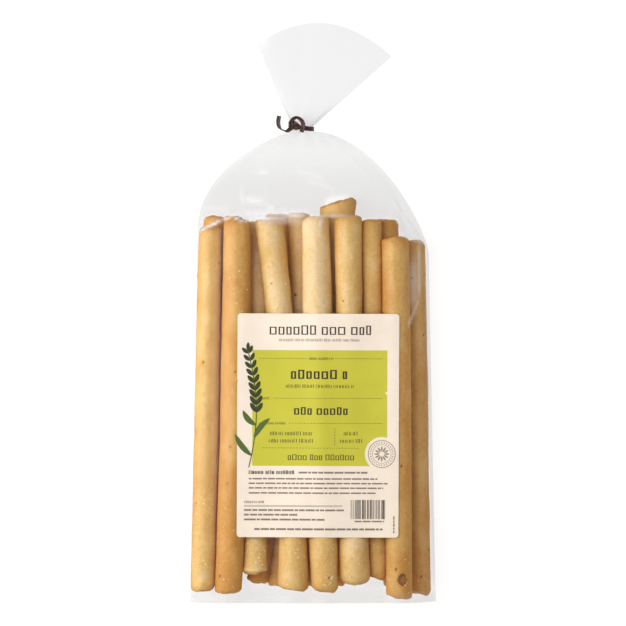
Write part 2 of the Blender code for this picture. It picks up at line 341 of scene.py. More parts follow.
def make_breadstick(index, item, settings):
    """A rolled and baked rope of dough: bent, uneven, with rounded, slightly split ends, a few
    blisters and pinholes. Its points carry the crust's state in the attribute "crust": red for how
    brown it is baked, with painted shade on the sides that face the gaps between breadsticks;
    green for painted shade in the pits and pinholes; and blue for pale, floury skin, with a
    painted highlight on the ridge of a lip."""
    stick = item.stick
    rng = random.Random(1000 + index)
    high, low = (end * MM for end in stick.ends)
    length = high - low
    cap_rings = 9
    body_rings = int(length / settings.point_spacing)
    rings = body_rings + 2 * cap_rings
    bm = bmesh.new()
    bmesh.ops.create_uvsphere(
        bm, u_segments=settings.points_round, v_segments=rings, radius=1.0
    )
    cap_length = [rng.uniform(2.8, 4.4) * MM for _ in range(2)]
    bluntness = [rng.uniform(0.40, 0.58) for _ in range(2)]
    askew = [rng.uniform(-0.16, 0.16), rng.uniform(-0.22, 0.22)]
    if stick.name == "front_e":
        cap_length[1], bluntness[1], askew[1] = 6.5 * MM, 0.72, 0.0
    torn = [rng.uniform(0.5, 0.9) * MM, rng.uniform(1.0, 1.7) * MM]
    blisters = [
        (rng.uniform(low, high), rng.uniform(0.2, math.pi - 0.2), rng.uniform(1.2, 3.4) * MM,
         rng.uniform(0.25, 0.6) * MM)
        for _ in range(22)
    ]
    pinholes = [
        (rng.uniform(low, high), rng.uniform(0.3, math.pi - 0.3), rng.uniform(0.3, 0.6) * MM)
        for _ in range(4)
    ]
    if stick.name == "front_f":
        pinholes.append((low + 11.0 * MM, 1.33, 2.4 * MM))
    squash = rng.uniform(0.96, 1.0)
    ys = np.zeros(len(bm.verts))
    turns = np.zeros(len(bm.verts))
    radial = np.ones(len(bm.verts))
    for vert in bm.verts:
        ring = round(math.acos(max(-1.0, min(1.0, vert.co.z))) / math.pi * rings)
        turns[vert.index] = math.atan2(vert.co.y, vert.co.x)
        end = 0 if ring < rings / 2 else 1
        from_end = ring if end == 0 else rings - ring
        if from_end < cap_rings:
            arc = from_end / cap_rings * math.pi / 2
            radial[vert.index] = math.sin(arc) ** bluntness[end]
            along = cap_length[end] * (1 - math.cos(arc)) ** 1.15
        else:
            share = (from_end - cap_rings) / (rings - 2 * cap_rings)
            along = cap_length[end] + share * (length - sum(cap_length))
        ys[vert.index] = high - along if end == 0 else low + along
    xs, zs, radii = axis_of(item, ys)
    crust = []
    for vert in bm.verts:
        i = vert.index
        turn = turns[i]
        y = ys[i]
        out = Vector((math.cos(turn), 0, math.sin(turn)))
        radius = radii[i] * radial[i]
        place = Vector((xs[i], y, zs[i])) + out * radius
        share = (y - low) / length
        relief = crust_relief(index + 1, place, share, turn, settings.roughness_height)
        browning_and_side_shade = mix(stick.bake[1], stick.bake[0], share)
        pit_shade = 0.0
        for at_y, at_turn, size, rise in blisters:
            away = math.hypot(y - at_y, (turn - at_turn) * radii[i]) / size
            if away < 1:
                swell = (1 - away * away) ** 2
                relief += rise * swell
                browning_and_side_shade += 0.10 * swell
        # painted shade in the pinholes: the crust is darkened in the hollows the relief cuts, darkest at
        # their walls and lighter on the floor of a wide one
        for at_y, at_turn, size in pinholes:
            away = math.hypot((y - at_y) * 0.75, (turn - at_turn) * radii[i]) / size
            if away < 1.5:
                rim = away + 0.22 * noise.noise(place * 420)
                relief -= max(0.0, 1 - rim**3) * min(size * 0.9, 1.2 * MM)
                floor = 0.45 if size > 1 * MM else 1.0  # a wide pit is paler in its middle
                pit_shade = max(pit_shade, min(1.0, 4.5 * (1.15 - rim)) * mix(floor, 1.0, min(1.0, rim**2)))
        end = 0 if high - y < y - low else 1
        near_end = 1 - min(1.0, min(y - low, high - y) / (8 * MM))
        crumbly = noise.noise(place * 700 + Vector((index, 0, 0)))
        relief += near_end * crumbly * 0.5 * MM
        browning_and_side_shade += 0.25 * near_end**2 + 0.15 * (1 - radial[i])
        # painted shade: the crust is darkened towards its sides, which face the neighbouring breadsticks
        # across the shaded gaps
        browning_and_side_shade += 0.28 * abs(out.x) ** 3
        flour_and_lip_highlight = max(0.0, noise.noise(place * 60 + Vector((0, index * 3.0, 0)))) * 0.9
        radius += relief * (0.35 + 0.65 * radial[i])
        if stick.name.startswith("back"):  # packed close, so that no light shows between them
            radius += 0.5 * MM * radial[i]
        if stick.slant and y > high - 45 * MM:
            flare = 0.24 * float(smooth_step((y - high) / (45 * MM) + 1))
            radius *= 1 + flare * (1 if out.z > 0 else abs(out.x))
            cut = high - stick.slant * (1 - out.x * radius / radii[i]) * 7 * MM
            cut += noise.noise(place * 260) * 1.6 * MM
            if y > cut:
                browning_and_side_shade += 0.25
                y = cut + (y - cut) * 0.12
        outward = 1 if end == 0 else -1
        uneven = askew[end] * out.x * radius + torn[end] * noise.noise(place * 210)
        uneven += (1 - radial[i]) * 0.7 * MM * noise.noise(place * 520)
        y += outward * near_end**2 * (uneven - 0.5 * torn[end])
        if stick.lip and y < low + 9 * MM:
            ridge = math.exp(-(((y - low) / MM - 2.6) / 1.1) ** 2)
            radius += stick.lip * ridge * MM
            # painted highlight: the lip's ridge is made pale, as if lit
            flour_and_lip_highlight += 1.5 * ridge
        height = zs[i] + out.z * radius * squash
        vert.co = Vector((xs[i] + out.x * radius, y, max(height, 0.3 * MM)))
        crust.append((min(max(browning_and_side_shade, 0.0), 1.0), min(max(pit_shade, 0.0), 1.0), flour_and_lip_highlight))
    bmesh.ops.recalc_face_normals(bm, faces=bm.faces)
    made = piece_from(bm, f"breadstick_{stick.name}", "film")
    attribute = made.data.attributes.new("crust", "FLOAT_COLOR", "POINT")
    flat = [channel for state in crust for channel in (*state, 1.0)]
    attribute.data.foreach_set("color", flat)
    return made


def crust_material(settings):
    """Baked breadstick crust: a dry, matt skin that is golden where it is thick, darker at the ends
    and on blisters, and pale where it stayed floury, with fine pores. It carries painted shade on
    its sides towards the gaps between breadsticks, in its pits, pinholes and pores, and a painted
    highlight on the ridge of a lip."""
    material, tree, output = new_material("baked_grissini_crust")
    place = add(tree, "TexCoord").outputs["Object"]
    state = add(tree, "Attribute", attribute_name="crust").outputs["Color"]
    state = add(tree, "SeparateColor", {"Color": state})
    browning_and_side_shade, pit_shade, flour_and_lip_highlight = (state.outputs[name] for name in ("Red", "Green", "Blue"))
    stretch = add(
        tree, "Mapping", {"Vector": place, "Scale": (1.0, 0.45, 1.0)}, vector_type="POINT"
    ).outputs["Vector"]
    blotches = add(  # uneven baking, in patches of about 9 mm
        tree, "TexNoise", {"Vector": stretch, "Scale": 110.0, "Detail": 3.0, "Roughness": 0.55}
    ).outputs["Fac"]
    mottle = add(  # mottling of about 2 mm
        tree, "TexNoise", {"Vector": place, "Scale": 480.0, "Detail": 4.0, "Roughness": 0.6}
    ).outputs["Fac"]
    pores = add(  # pores of about 0.7 mm
        tree, "TexNoise", {"Vector": place, "Scale": 1500.0, "Detail": 2.0, "Roughness": 0.5}
    ).outputs["Fac"]
    tone = add(tree, "Math", {0: browning_and_side_shade, 1: -0.48}, operation="ADD").outputs[0]
    tone = add(
        tree, "Math", {0: blotches, 1: 0.80, 2: tone}, operation="MULTIPLY_ADD"
    ).outputs[0]
    tone = add(tree, "Math", {0: mottle, 1: 0.42, 2: tone}, operation="MULTIPLY_ADD").outputs[0]
    tone = add(tree, "Math", {0: flour_and_lip_highlight, 1: -0.22, 2: tone}, operation="MULTIPLY_ADD").outputs[0]
    baked = add(
        tree, "ValToRGB", {"Fac": tone},
        stops=(
            (0.18, settings.pale), (0.50, settings.golden), (0.95, settings.brown),
        ),
    ).outputs["Color"]
    # painted shade in the pores: the crust is darker where the bump below sinks
    pore_shade = add(
        tree, "MapRange", {"Value": pores, "From Min": 0.30, "From Max": 0.42,
                           "To Min": 0.80, "To Max": 1.0},
    ).outputs["Result"]
    pore_shaded = add(
        tree, "Mix", {0: 1.0, 6: baked, 7: pore_shade}, data_type="RGBA", blend_type="MULTIPLY"
    ).outputs[2]
    # painted shade: dark brown in the pits and pinholes
    pit_shaded = add(
        tree, "Mix", {0: pit_shade, 6: pore_shaded, 7: (*linear("#713a1b"), 1)}, data_type="RGBA"
    ).outputs[2]
    heights = add(
        tree, "Math", {0: pores, 1: 0.35, 2: mottle}, operation="MULTIPLY_ADD"
    ).outputs[0]
    skin = add(
        tree, "Bump", {"Height": heights, "Strength": 0.42, "Distance": 0.35 * MM}
    ).outputs["Normal"]
    shader = add(
        tree, "BsdfPrincipled",
        {
            "Base Color": pit_shaded, "Roughness": 0.72, "IOR": 1.45,
            "Specular IOR Level": 0.28, "Normal": skin, "Subsurface Weight": 0.06,
            "Subsurface Radius": (0.9 * MM, 0.5 * MM, 0.25 * MM), "Subsurface Scale": 1.0,
        },
    )
    tree.links.new(shader.outputs["BSDF"], output.inputs["Surface"])
    return material


class Crumbs(NamedTuple):
    """Crumbs that stick to a breadstick: whose, between which stations and which shares across
    its front, in millimetres and from -1 to 1, and how many."""

    stick: str
    low: float
    high: float
    left: float
    right: float
    count: int


CRUMBS = (
    Crumbs("front_a", -150, -134, -0.8, 0.3, 34),
    Crumbs("front_a", -134, -100, -0.7, 0.9, 14),
    Crumbs("front_b", -150, -105, -0.9, 0.9, 24),
    Crumbs("middle_a", -140, -123, -0.7, 0.9, 60),
    Crumbs("front_c", -150, -124, -0.6, 0.9, 26),
    Crumbs("front_d", -149, -136, -0.1, 0.9, 34),
    Crumbs("front_d", -136, -122, -0.2, 0.9, 8),
    Crumbs("front_e", -145, -122, -0.9, 0.5, 22),
    Crumbs("middle_b", -144, -124, -0.9, 0.9, 16),
    Crumbs("front_f", -153, -126, -0.9, 0.8, 18),
    Crumbs("back_h", -150, -124, -0.2, 0.8, 10),
    Crumbs("front_a", 10, 45, -0.8, 0.9, 12),
    Crumbs("front_b", 0, 48, -0.5, 0.9, 14),
    Crumbs("front_c", 0, 45, -0.7, 0.8, 8),
    Crumbs("front_d", 2, 45, -0.6, 0.6, 6),
)


def make_crumbs():
    """Small pale crumbs that rubbed off in the bag, half sunk in the crusts they lie on."""
    rng = random.Random(77)
    laid = {item.stick.name: item for item in LAID}
    bm = bmesh.new()
    for group in CRUMBS:
        for _ in range(group.count):
            y = rng.uniform(group.low, group.high) * MM
            across = rng.uniform(group.left, group.right)
            x, z, radius = (float(v) for v in axis_of(laid[group.stick], np.array([y])))
            size = rng.uniform(0.16, 0.42) * MM
            out = Vector((across, 0, math.sqrt(1 - across**2)))
            place = Vector((x, y, z)) + out * (radius + 0.1 * MM)
            squash = Vector([rng.uniform(0.7, 1.3) * size for _ in range(3)])
            turn = Matrix.Rotation(rng.uniform(0, math.tau), 4, Vector((1, 2, 3)).normalized())
            bmesh.ops.create_icosphere(
                bm, subdivisions=1, radius=1.0,
                matrix=Matrix.Translation(place) @ turn @ Matrix.Diagonal((*squash, 1)),
            )
    return piece_from(bm, "crumbs", "film", smooth=False)


def crumb_material():
    """Dry bread crumb: pale and rough."""
    material, tree, output = new_material("dry_bread_crumb")
    place = add(tree, "TexCoord").outputs["Object"]
    grain = add(  # differences between one crumb and the next, a few millimetres apart
        tree, "TexNoise", {"Vector": place, "Scale": 350.0, "Detail": 1.0}
    ).outputs["Fac"]
    colour = add(
        tree, "ValToRGB", {"Fac": grain},
        stops=((0.35, linear("#e9c07e")), (0.60, linear("#ffedc9"))),
    ).outputs["Color"]
    shader = add(
        tree, "BsdfPrincipled", {"Base Color": colour, "Roughness": 0.6, "IOR": 1.45}
    ).outputs["BSDF"]
    tree.links.new(shader, output.inputs["Surface"])
    return material


class GRISSINI_OT_breadsticks(bpy.types.Operator):
    """Lays every breadstick in the bag"""

    bl_idname = "grissini.breadsticks"
    bl_label = "Breadsticks"

    def execute(self, context):
        settings = context.scene.grissini_breadsticks
        material = crust_material(settings)
        for index, item in enumerate(LAID):
            made = make_breadstick(index, item, settings)
            made.data.materials.append(material)
        make_crumbs().data.materials.append(crumb_material())
        return {"FINISHED"}


# ------------------------------------------------------------------------------------- film


class Shoulder(NamedTuple):
    """Where a side edge starts to round over, and the exponents of that round line."""

    x: float
    y: float
    power_x: float
    power_y: float


BASE_HALF_WIDTH = BAG_HIGH.x
LEFT_SHOULDER = Shoulder(-63.0 * MM, 44.0 * MM, 1.2, 2.2)
RIGHT_SHOULDER = Shoulder(63.2 * MM, 32.0 * MM, 1.9, 1.3)
FIELD_STEP = 0.5 * MM
FIELD_X = np.arange(-70 * MM, 70.1 * MM, FIELD_STEP)
FIELD_Y = np.arange(-160 * MM, 101 * MM, 1.0 * MM)


def shoulder_share(y, shoulder):
    return (y - shoulder.y) / (SHOULDER_END_Y - shoulder.y)


def side_edge(y, shoulder):
    """X of the left or right edge of the body and the shoulders at a station."""
    if y <= shoulder.y:
        base_x = math.copysign(BASE_HALF_WIDTH, shoulder.x)
        return mix(base_x, shoulder.x, (y - BOTTOM_Y) / (shoulder.y - BOTTOM_Y))
    neck_x = NECK.x + math.copysign(NECK_HALF_WIDTH, shoulder.x)
    width = rounded(shoulder_share(y, shoulder), shoulder.power_x, shoulder.power_y)
    return mix(neck_x, shoulder.x, width)


def breadstick_tops():
    """Height of the topmost breadstick over each point of the field, or 0 where none is."""
    tops = np.zeros((len(FIELD_Y), len(FIELD_X)))
    for item in LAID:
        high, low = (end * MM for end in item.stick.ends)
        x, z, radius = axis_of(item, FIELD_Y)
        from_end = np.minimum(FIELD_Y - low, high - FIELD_Y)
        inside = from_end > 0
        narrow = np.clip(from_end / END_ROUND, 0, 1)
        radius = radius * np.sqrt(np.clip(1 - (1 - narrow) ** 2, 0, 1))
        aside = FIELD_X[None, :] - x[:, None]
        rise = np.sqrt(np.maximum(radius[:, None] ** 2 - aside**2, 0))
        top = np.where((np.abs(aside) < radius[:, None]) & inside[:, None],
                       z[:, None] + rise, 0)
        tops = np.maximum(tops, top)
    return tops


def rolled(field, radius, axis, step, reach):
    """The field closed along one axis by a parabola of this radius, as a sheet that is
    stretched over it sags: it bridges hollows and stays on the crests."""
    count = int(reach / step)
    shifts = range(-count, count + 1)

    def shifted(source, shift, fill):
        moved = np.full_like(source, fill)
        if axis == 0:
            span = slice(max(shift, 0), source.shape[0] + min(shift, 0))
            back = slice(max(-shift, 0), source.shape[0] + min(-shift, 0))
            moved[back] = source[span]
        else:
            span = slice(max(shift, 0), source.shape[1] + min(shift, 0))
            back = slice(max(-shift, 0), source.shape[1] + min(-shift, 0))
            moved[:, back] = source[:, span]
        return moved

    raised = np.full_like(field, -1.0)
    for shift in shifts:
        drop = (shift * step) ** 2 / (2 * radius)
        raised = np.maximum(raised, shifted(field, shift, -1.0) - drop)
    lowered = np.full_like(field, 1.0)
    for shift in shifts:
        drop = (shift * step) ** 2 / (2 * radius)
        lowered = np.minimum(lowered, shifted(raised, shift, 1.0) + drop)
    return lowered


def blurred(field, passes):
    """The field smoothed by its neighbours along both axes."""
    for _ in range(passes):
        padded = np.pad(field, 1, mode="edge")
        field = (
            2 * field + padded[:-2, 1:-1] + padded[2:, 1:-1] + padded[1:-1, :-2]
            + padded[1:-1, 2:]
        ) / 6
    return field


def sample(field, x, y):
    """The field's value at a point, linear between its samples."""
    column = min(max((x - FIELD_X[0]) / FIELD_STEP, 0), len(FIELD_X) - 1.001)
    row = min(max((y - FIELD_Y[0]) / (FIELD_Y[1] - FIELD_Y[0]), 0), len(FIELD_Y) - 1.001)
    i, j = int(row), int(column)
    u, v = row - i, column - j
    low = field[i, j] * (1 - v) + field[i, j + 1] * v
    high = field[i + 1, j] * (1 - v) + field[i + 1, j + 1] * v
    return low * (1 - u) + high * u


FILM_SAG = 45 * MM  # radius of the film's sag between two breadsticks
LABEL_SAG = 120 * MM  # and of the stiffer label's


def make_drapes():
    """(film, label): how high the film and the stiffer label lie over the breadsticks."""
    tops = breadstick_tops()
    film = rolled(tops, FILM_SAG, 1, FIELD_STEP, 34 * MM)
    film = rolled(film, 90 * MM, 0, 1.0 * MM, 60 * MM)
    film = blurred(film, 3)
    label = rolled(tops, LABEL_SAG, 1, FIELD_STEP, 60 * MM)
    label = rolled(label, 400 * MM, 0, 1.0 * MM, 60 * MM)
    return film, blurred(label, 60)


FILM_DRAPE, LABEL_DRAPE = make_drapes()
COVERED = blurred((breadstick_tops() > 0).astype(float), 3)  # 1 over breadsticks, else 0
LABEL_LIFT = 0.75 * MM  # of the label over the drape, to clear the film under it


def label_height(x, y):
    """Height of the paper's face, a little uneven where breadsticks press on it."""
    uneven = 0.15 * MM * noise.noise(Vector((x * 55, y * 30, 3.0)))
    return sample(LABEL_DRAPE, x, y) + LABEL_LIFT + uneven


def label_holds(x, y):
    """1 under the label, which keeps the film flat, fading to 0 just outside it."""
    outside_x = max(LABEL_LOW.x - x, x - LABEL_HIGH.x)
    outside_y = max(LABEL_LOW.y - y, y - LABEL_HIGH.y)
    return 1 - smooth_step(max(outside_x, outside_y) / (5 * MM))


def facet_sheet(seed, low, high, spacing, height):
    """A tree to look up a sheet of flat triangular facets with sharp creases between them,
    as film has where it was crumpled."""
    rng = random.Random(seed)
    points = []
    y = low[1] - spacing
    while y < high[1] + spacing:
        x = low[0] - spacing
        while x < high[0] + spacing:
            points.append(
                Vector((x + rng.uniform(-0.45, 0.45) * spacing,
                        y + rng.uniform(-0.45, 0.45) * spacing))
            )
            x += spacing
        y += spacing
    flat, _, faces, *_ = delaunay_2d_cdt(points, [], [], 0, 1e-6)
    raised = [Vector((p.x, p.y, rng.uniform(-1, 1) * height)) for p in flat]
    return BVHTree.FromPolygons(raised, faces)


def facet_height(tree, x, y):
    hit = tree.ray_cast(Vector((x, y, 1)), Vector((0, 0, -1)))[0]
    return hit.z if hit else 0.0


class Crease(NamedTuple):
    """A fold in the front film, in millimetres: its two ends, how far it stands out, how wide it
    is, and how strongly a painted highlight whitens it."""

    start: tuple
    end: tuple
    height: float
    width: float
    haze_and_highlight: float


CREASES = (
    Crease((-62.0, 44.0), (-50.0, 50.0), 0.7, 1.2, 0.75),  # across the breadsticks' high ends
    Crease((-50.0, 50.0), (-40.5, 53.5), 0.6, 1.2, 0.45),
    Crease((-43.0, 51.6), (-37.6, 49.2), 0.6, 1.1, 0.75),
    Crease((-37.6, 49.2), (-29.5, 52.6), 0.6, 1.1, 0.70),
    Crease((-32.5, 50.6), (-4.5, 52.2), 0.6, 1.1, 0.85),
    Crease((-4.5, 52.2), (22.0, 52.5), 0.4, 1.4, 0.30),
    Crease((-41.0, 53.4), (-3.0, 53.8), 0.3, 3.0, 0.55),
    Crease((-31.0, 49.0), (-3.0, 50.0), 0.1, 3.0, 0.24),
    Crease((-24.0, 57.0), (-12.0, 55.5), 0.8, 1.6, 0.55),
    Crease((-38.0, 62.0), (-26.0, 60.5), 0.5, 2.4, 0.40),
    Crease((3.5, 46.0), (4.5, 50.5), 0.5, 1.2, 0.50),
    Crease((-32.5, 76.5), (-15.5, 77.5), 0.8, 1.6, 0.25),  # in the slack film above them
    Crease((-15.5, 77.5), (4.0, 83.0), 0.6, 1.6, 0.10),
    Crease((-39.0, 69.0), (-37.0, 58.0), 0.6, 1.8, 0.20),
    Crease((20.0, 86.0), (33.0, 72.0), 0.6, 1.6, 0.10),
    Crease((43.5, 62.5), (49.0, 52.5), 0.8, 1.4, 0.40),
    Crease((49.0, 52.5), (62.0, 36.0), 1.0, 1.3, 0.30),  # down to the right side edge
    Crease((45.0, 55.0), (49.5, 44.0), 0.5, 2.6, 0.30),
    Crease((49.5, 41.5), (62.0, 37.5), 0.3, 1.6, 0.50),
    Crease((57.6, 37.0), (57.8, 8.0), 0.8, 1.3, 0.45),
    Crease((54.6, 30.0), (54.8, 2.0), 0.3, 3.4, 0.26),
    Crease((57.8, 8.0), (51.5, -8.0), 0.6, 1.4, 0.30),
    Crease((61.5, 30.0), (65.6, -140.0), 0.6, 1.3, 0.35),
)


def creased(x, y):
    """(rise in millimetres, painted highlight) that the film's folds give a point."""
    rise = haze_and_highlight = 0.0
    for crease in CREASES:
        start = Vector(crease.start) * MM
        along = Vector(crease.end) * MM - start
        point = Vector((x, y)) - start
        share = min(max(point.dot(along) / along.length_squared, 0.0), 1.0)
        aside = (point - along * share).length / (crease.width * MM)
        if aside < 1:
            fade = min(1.0, 4 * share + 0.3, 4 * (1 - share) + 0.3) * (1 - aside)
            rise = max(rise, crease.height * fade)
            haze_and_highlight = max(haze_and_highlight, crease.haze_and_highlight * fade)
    return rise, haze_and_highlight


RING_FRONT = 150
RING_BACK = 60
BODY_SHARES = tuple(
    mix(even, math.sin(math.pi / 2 * even), 0.35)
    for even in (2 * step / RING_FRONT - 1 for step in range(RING_FRONT + 1))
)
BACK_SHARES = tuple(
    mix(even, math.sin(math.pi / 2 * even), 0.5)
    for even in (2 * step / RING_BACK - 1 for step in range(RING_BACK + 1))
)


class PleatPattern:
    """Uneven gathers round the neck, sharp at their folds."""

    def __init__(self, count, seed):
        rng = random.Random(seed)
        self.edges = [0.0]
        for _ in range(count):
            self.edges.append(self.edges[-1] + rng.uniform(0.6, 1.4))
        self.edges = [edge / self.edges[-1] for edge in self.edges]
        self.depths = [rng.uniform(0.45, 1.0) for _ in range(count)]

    def depth(self, turn):
        """0 on an outer fold and up to 1 on an inner one, at a turn from 0 to 1."""
        turn %= 1.0
        for i, depth in enumerate(self.depths):
            if turn < self.edges[i + 1]:
                share = (turn - self.edges[i]) / (self.edges[i + 1] - self.edges[i])
                return depth * (1 - abs(2 * share - 1)) ** 0.8
        return 0.0


def film_stations():
    """Y of every ring of the film's body and shoulders, closer together at both ends."""
    lifts = [0.0, 0.25, 0.7, 1.3, 2.1, 3.0]
    ys = [BOTTOM_Y + lift * MM for lift in lifts]
    while ys[-1] < LEFT_SHOULDER.y - 4 * MM:
        ys.append(ys[-1] + 1.15 * MM)
    steps = 64
    start = ys[-1]
    for step in range(1, steps + 1):
        ys.append(mix(start, SHOULDER_END_Y, math.sin(math.pi / 2 * step / steps)))
    return ys


def make_film(settings):
    """The clear bag: a tube closed by its folded bottom, draped over the breadsticks, gathered
    at the neck and fanned out above it."""
    crumpled = facet_sheet(5, (-70 * MM, 20 * MM), (70 * MM, 105 * MM), 15 * MM, 1.0)
    fine = facet_sheet(9, (-70 * MM, -160 * MM), (70 * MM, 105 * MM), 7 * MM, 1.0)
    pleats = PleatPattern(settings.pleats, 3)

    def past_ends(x, y):
        """How far a point lies past the breadsticks' high ends, from 0 to 1."""
        return smooth_step((y - 46 * MM) / (12 * MM))

    def body_point(share, side, y):
        left = side_edge(y, LEFT_SHOULDER)
        right = side_edge(y, RIGHT_SHOULDER)
        middle = (left + right) / 2
        closing = min(max(shoulder_share(y, LEFT_SHOULDER), 0.0), 1.0)
        mid_height = mix(SIDE_MID_HEIGHT, NECK.z, smooth_step(closing))
        softening = smooth_step(1.25 * closing)
        dome = NECK.z + NECK_HALF_HEIGHT + 13.8 * MM * rounded(closing, 1.7, 2.3)
        underside = (NECK.z - NECK_HALF_HEIGHT) * (1 - rounded(closing, 1.5, 2.6))
        underside = max(underside, 0.15 * MM)
        x = mix(left, right, (share + 1) / 2)
        profile = box_profile(share, mix(6.0, 2.0, softening))
        if side > 0:
            drape = sample(FILM_DRAPE, x, y) + settings.clearance
            stiff = min(drape, sample(LABEL_DRAPE, x, y) + settings.clearance)
            held = label_holds(x, y)
            front = mix(drape, max(drape, stiff), held)
            fade = past_ends(x, y)
            hang = dome - 1.2 * MM * fade * (1 - closing)
            if y > 30 * MM:
                front = max(front, mix(front, hang, fade))
                front = min(front, max(hang, drape)) if closing < 0.35 else hang
            bottom_share = (y - BOTTOM_Y) / (9 * MM)
            edge = 14 * MM + 1.2 * MM * noise.noise(Vector((x * 60, 0, 0)))
            if bottom_share < 1:
                front = max(mix(edge, front, smooth_step(bottom_share) ** 0.6), drape)
            crumple = settings.crumple * facet_height(crumpled, x, y) * fade * (1 - closing**4)
            loose = (1 - held) * 0.16 * MM * facet_height(fine, x, y)
            low_end = 0.7 * MM * facet_height(fine, x, y) * (1 - smooth_step(bottom_share / 1.3))
            front += crumple + loose + low_end + creased(x, y)[0] * MM
            facet = mid_height + (right - x) * (1.35 + 3 * closing)
            z = min(mix(mid_height, front, profile), facet)
        else:
            z = max(underside, mix(mid_height, underside, 1.15 * profile))
            lift = 0.5 * MM * closing * facet_height(crumpled, x, y)
            z = max(0.12 * MM, z + lift)
        turn = math.acos(share) / (2 * math.pi)
        turn = turn if side > 0 else 1 - turn
        amount = smooth_step((closing - 0.62) / 0.38) ** 1.6
        pull = 1 - 0.26 * amount * pleats.depth(turn) * (1 - abs(share) ** 6)
        return Vector((mix(middle, x, pull), y, mix(mid_height, z, pull)))

    fan_left = Vector((-30.2, 147.0)) * MM
    fan_top = Vector((6.5 * MM, MOUTH_Y))
    fan_right = Vector((43.0, 140.2)) * MM
    fan_facets = facet_sheet(21, (-40 * MM, 95 * MM), (50 * MM, 165 * MM), 16 * MM, 1.0)

    def fan_point(share, side, spread):
        across = (share + 1) / 2
        middle = fan_left.lerp(fan_right, 0.5)
        rim = fan_left.lerp(fan_right, across)
        rim = rim + (fan_top - middle) * (1 - (2 * across - 1) ** 2)
        start = Vector((NECK.x + NECK_HALF_WIDTH * share, NECK.y))
        flat = start.lerp(rim, spread)
        thick = mix(NECK_HALF_HEIGHT, 0.5 * MM, smooth_step(1.5 * spread))
        height = mix(NECK.z, 4.6 * MM, smooth_step(spread))
        turn = math.acos(share) / (2 * math.pi)
        turn = turn if side > 0 else 1 - turn
        pull = 1 - 0.30 * (1 - smooth_step(1.6 * spread)) * pleats.depth(turn)
        ray = 1.3 * math.sin(4.3 * math.pi * across + 0.6) + 0.35 * math.sin(11 * math.pi * across)
        fold = ray * MM * spread**0.8 * (1 - share**4)
        fold += 0.6 * MM * facet_height(fan_facets, flat.x, flat.y) * smooth_step(2 * spread)
        gape = side * mix(0, 1.2 * MM, spread) * (0.5 + 0.5 * math.sin(7 * across + side))
        z = height + fold + (side * thick * pull + gape) * box_profile(share, 2.4)
        x = mix(NECK.x, flat.x, mix(1.0, pull, 1 - spread))
        return Vector((x, flat.y, max(z, 0.3 * MM)))

    bm = bmesh.new()
    ys = film_stations()
    fan_steps = 46
    around = RING_FRONT + RING_BACK
    bmesh.ops.create_grid(
        bm, x_segments=around, y_segments=len(ys) + fan_steps - 1, size=1.0
    )
    bm.verts.ensure_lookup_table()
    columns = around + 1
    ring_shares = [(share, 1) for share in BODY_SHARES]
    ring_shares += [(share, -1) for share in reversed(BACK_SHARES[:-1])]
    for vert in bm.verts:
        row, column = divmod(vert.index, columns)
        share, side = ring_shares[column]
        if row < len(ys):
            vert.co = body_point(share, side, ys[row])
        else:
            vert.co = fan_point(share, side, (row - len(ys) + 1) / fan_steps)
    keep_out_of_breadsticks(bm, settings.clearance)
    folds = bm.verts.layers.float.new("folds")
    painted_grey = bm.verts.layers.float.new("painted_grey")
    for vert in bm.verts:
        y = vert.co.y
        above = smooth_step((y - NECK.y) / (14 * MM))
        crushed = 0.16 * (1 - smooth_step((y - BOTTOM_Y - 1 * MM) / (6 * MM)))
        neck = 0.20 * smooth_step((y - 84 * MM) / (16 * MM)) * (1 - above)
        vert[folds] = 0.004 + crushed + neck + 0.02 * above
        closing = smooth_step((y - 66 * MM) / (26 * MM))
        # painted grey: the film's tint is greyest where it lies over the bare floor
        bare = 0.85 * (1 - sample(COVERED, vert.co.x, y))
        bare *= mix(0.46, 1.0, smooth_step((y - BOTTOM_Y - 6 * MM) / (8 * MM)))
        if vert.co.z > SIDE_MID_HEIGHT and y < NECK.y:
            # painted highlight: white along each crease
            vert[folds] += creased(vert.co.x, y)[1]
        vert[painted_grey] = mix(mix(bare, 0.42, closing), 0.42, above)
    bmesh.ops.remove_doubles(bm, verts=bm.verts, dist=0.01 * MM)
    bottom = [e for e in bm.edges if e.is_boundary and e.verts[0].co.y < BOTTOM_Y + 0.1 * MM]
    bmesh.ops.holes_fill(bm, edges=bottom, sides=0)
    caps = [f for f in bm.faces if len(f.verts) > 4]
    bmesh.ops.triangulate(bm, faces=caps)
    bmesh.ops.recalc_face_normals(bm, faces=bm.faces)
    return piece_from(bm, "film", "film", "bag")


def keep_out_of_breadsticks(bm, clearance):
    """Moves film that would lie inside a breadstick straight out to its surface."""
    bm.verts.ensure_lookup_table()
    points = np.array([vert.co[:] for vert in bm.verts])
    for _ in range(2):
        for item in LAID:
            high, low = (end * MM for end in item.stick.ends)
            x, z, radius = axis_of(item, points[:, 1])
            from_end = np.minimum(points[:, 1] - low, high - points[:, 1])
            narrow = np.clip((from_end + 1 * MM) / END_ROUND, 0, 1)
            radius = radius * np.sqrt(np.clip(1 - (1 - narrow) ** 2, 0, 1)) + clearance
            aside, above = points[:, 0] - x, points[:, 2] - z
            away = np.hypot(aside, above)
            inside = (from_end > -1 * MM) & (away < radius) & (away > 1e-6)
            scale = np.where(inside, radius / np.maximum(away, 1e-6), 1.0)
            points[:, 0] = x + aside * scale
            points[:, 2] = np.maximum(z + above * scale, 0.1 * MM)
    for vert, point in zip(bm.verts, points):
        vert.co = point


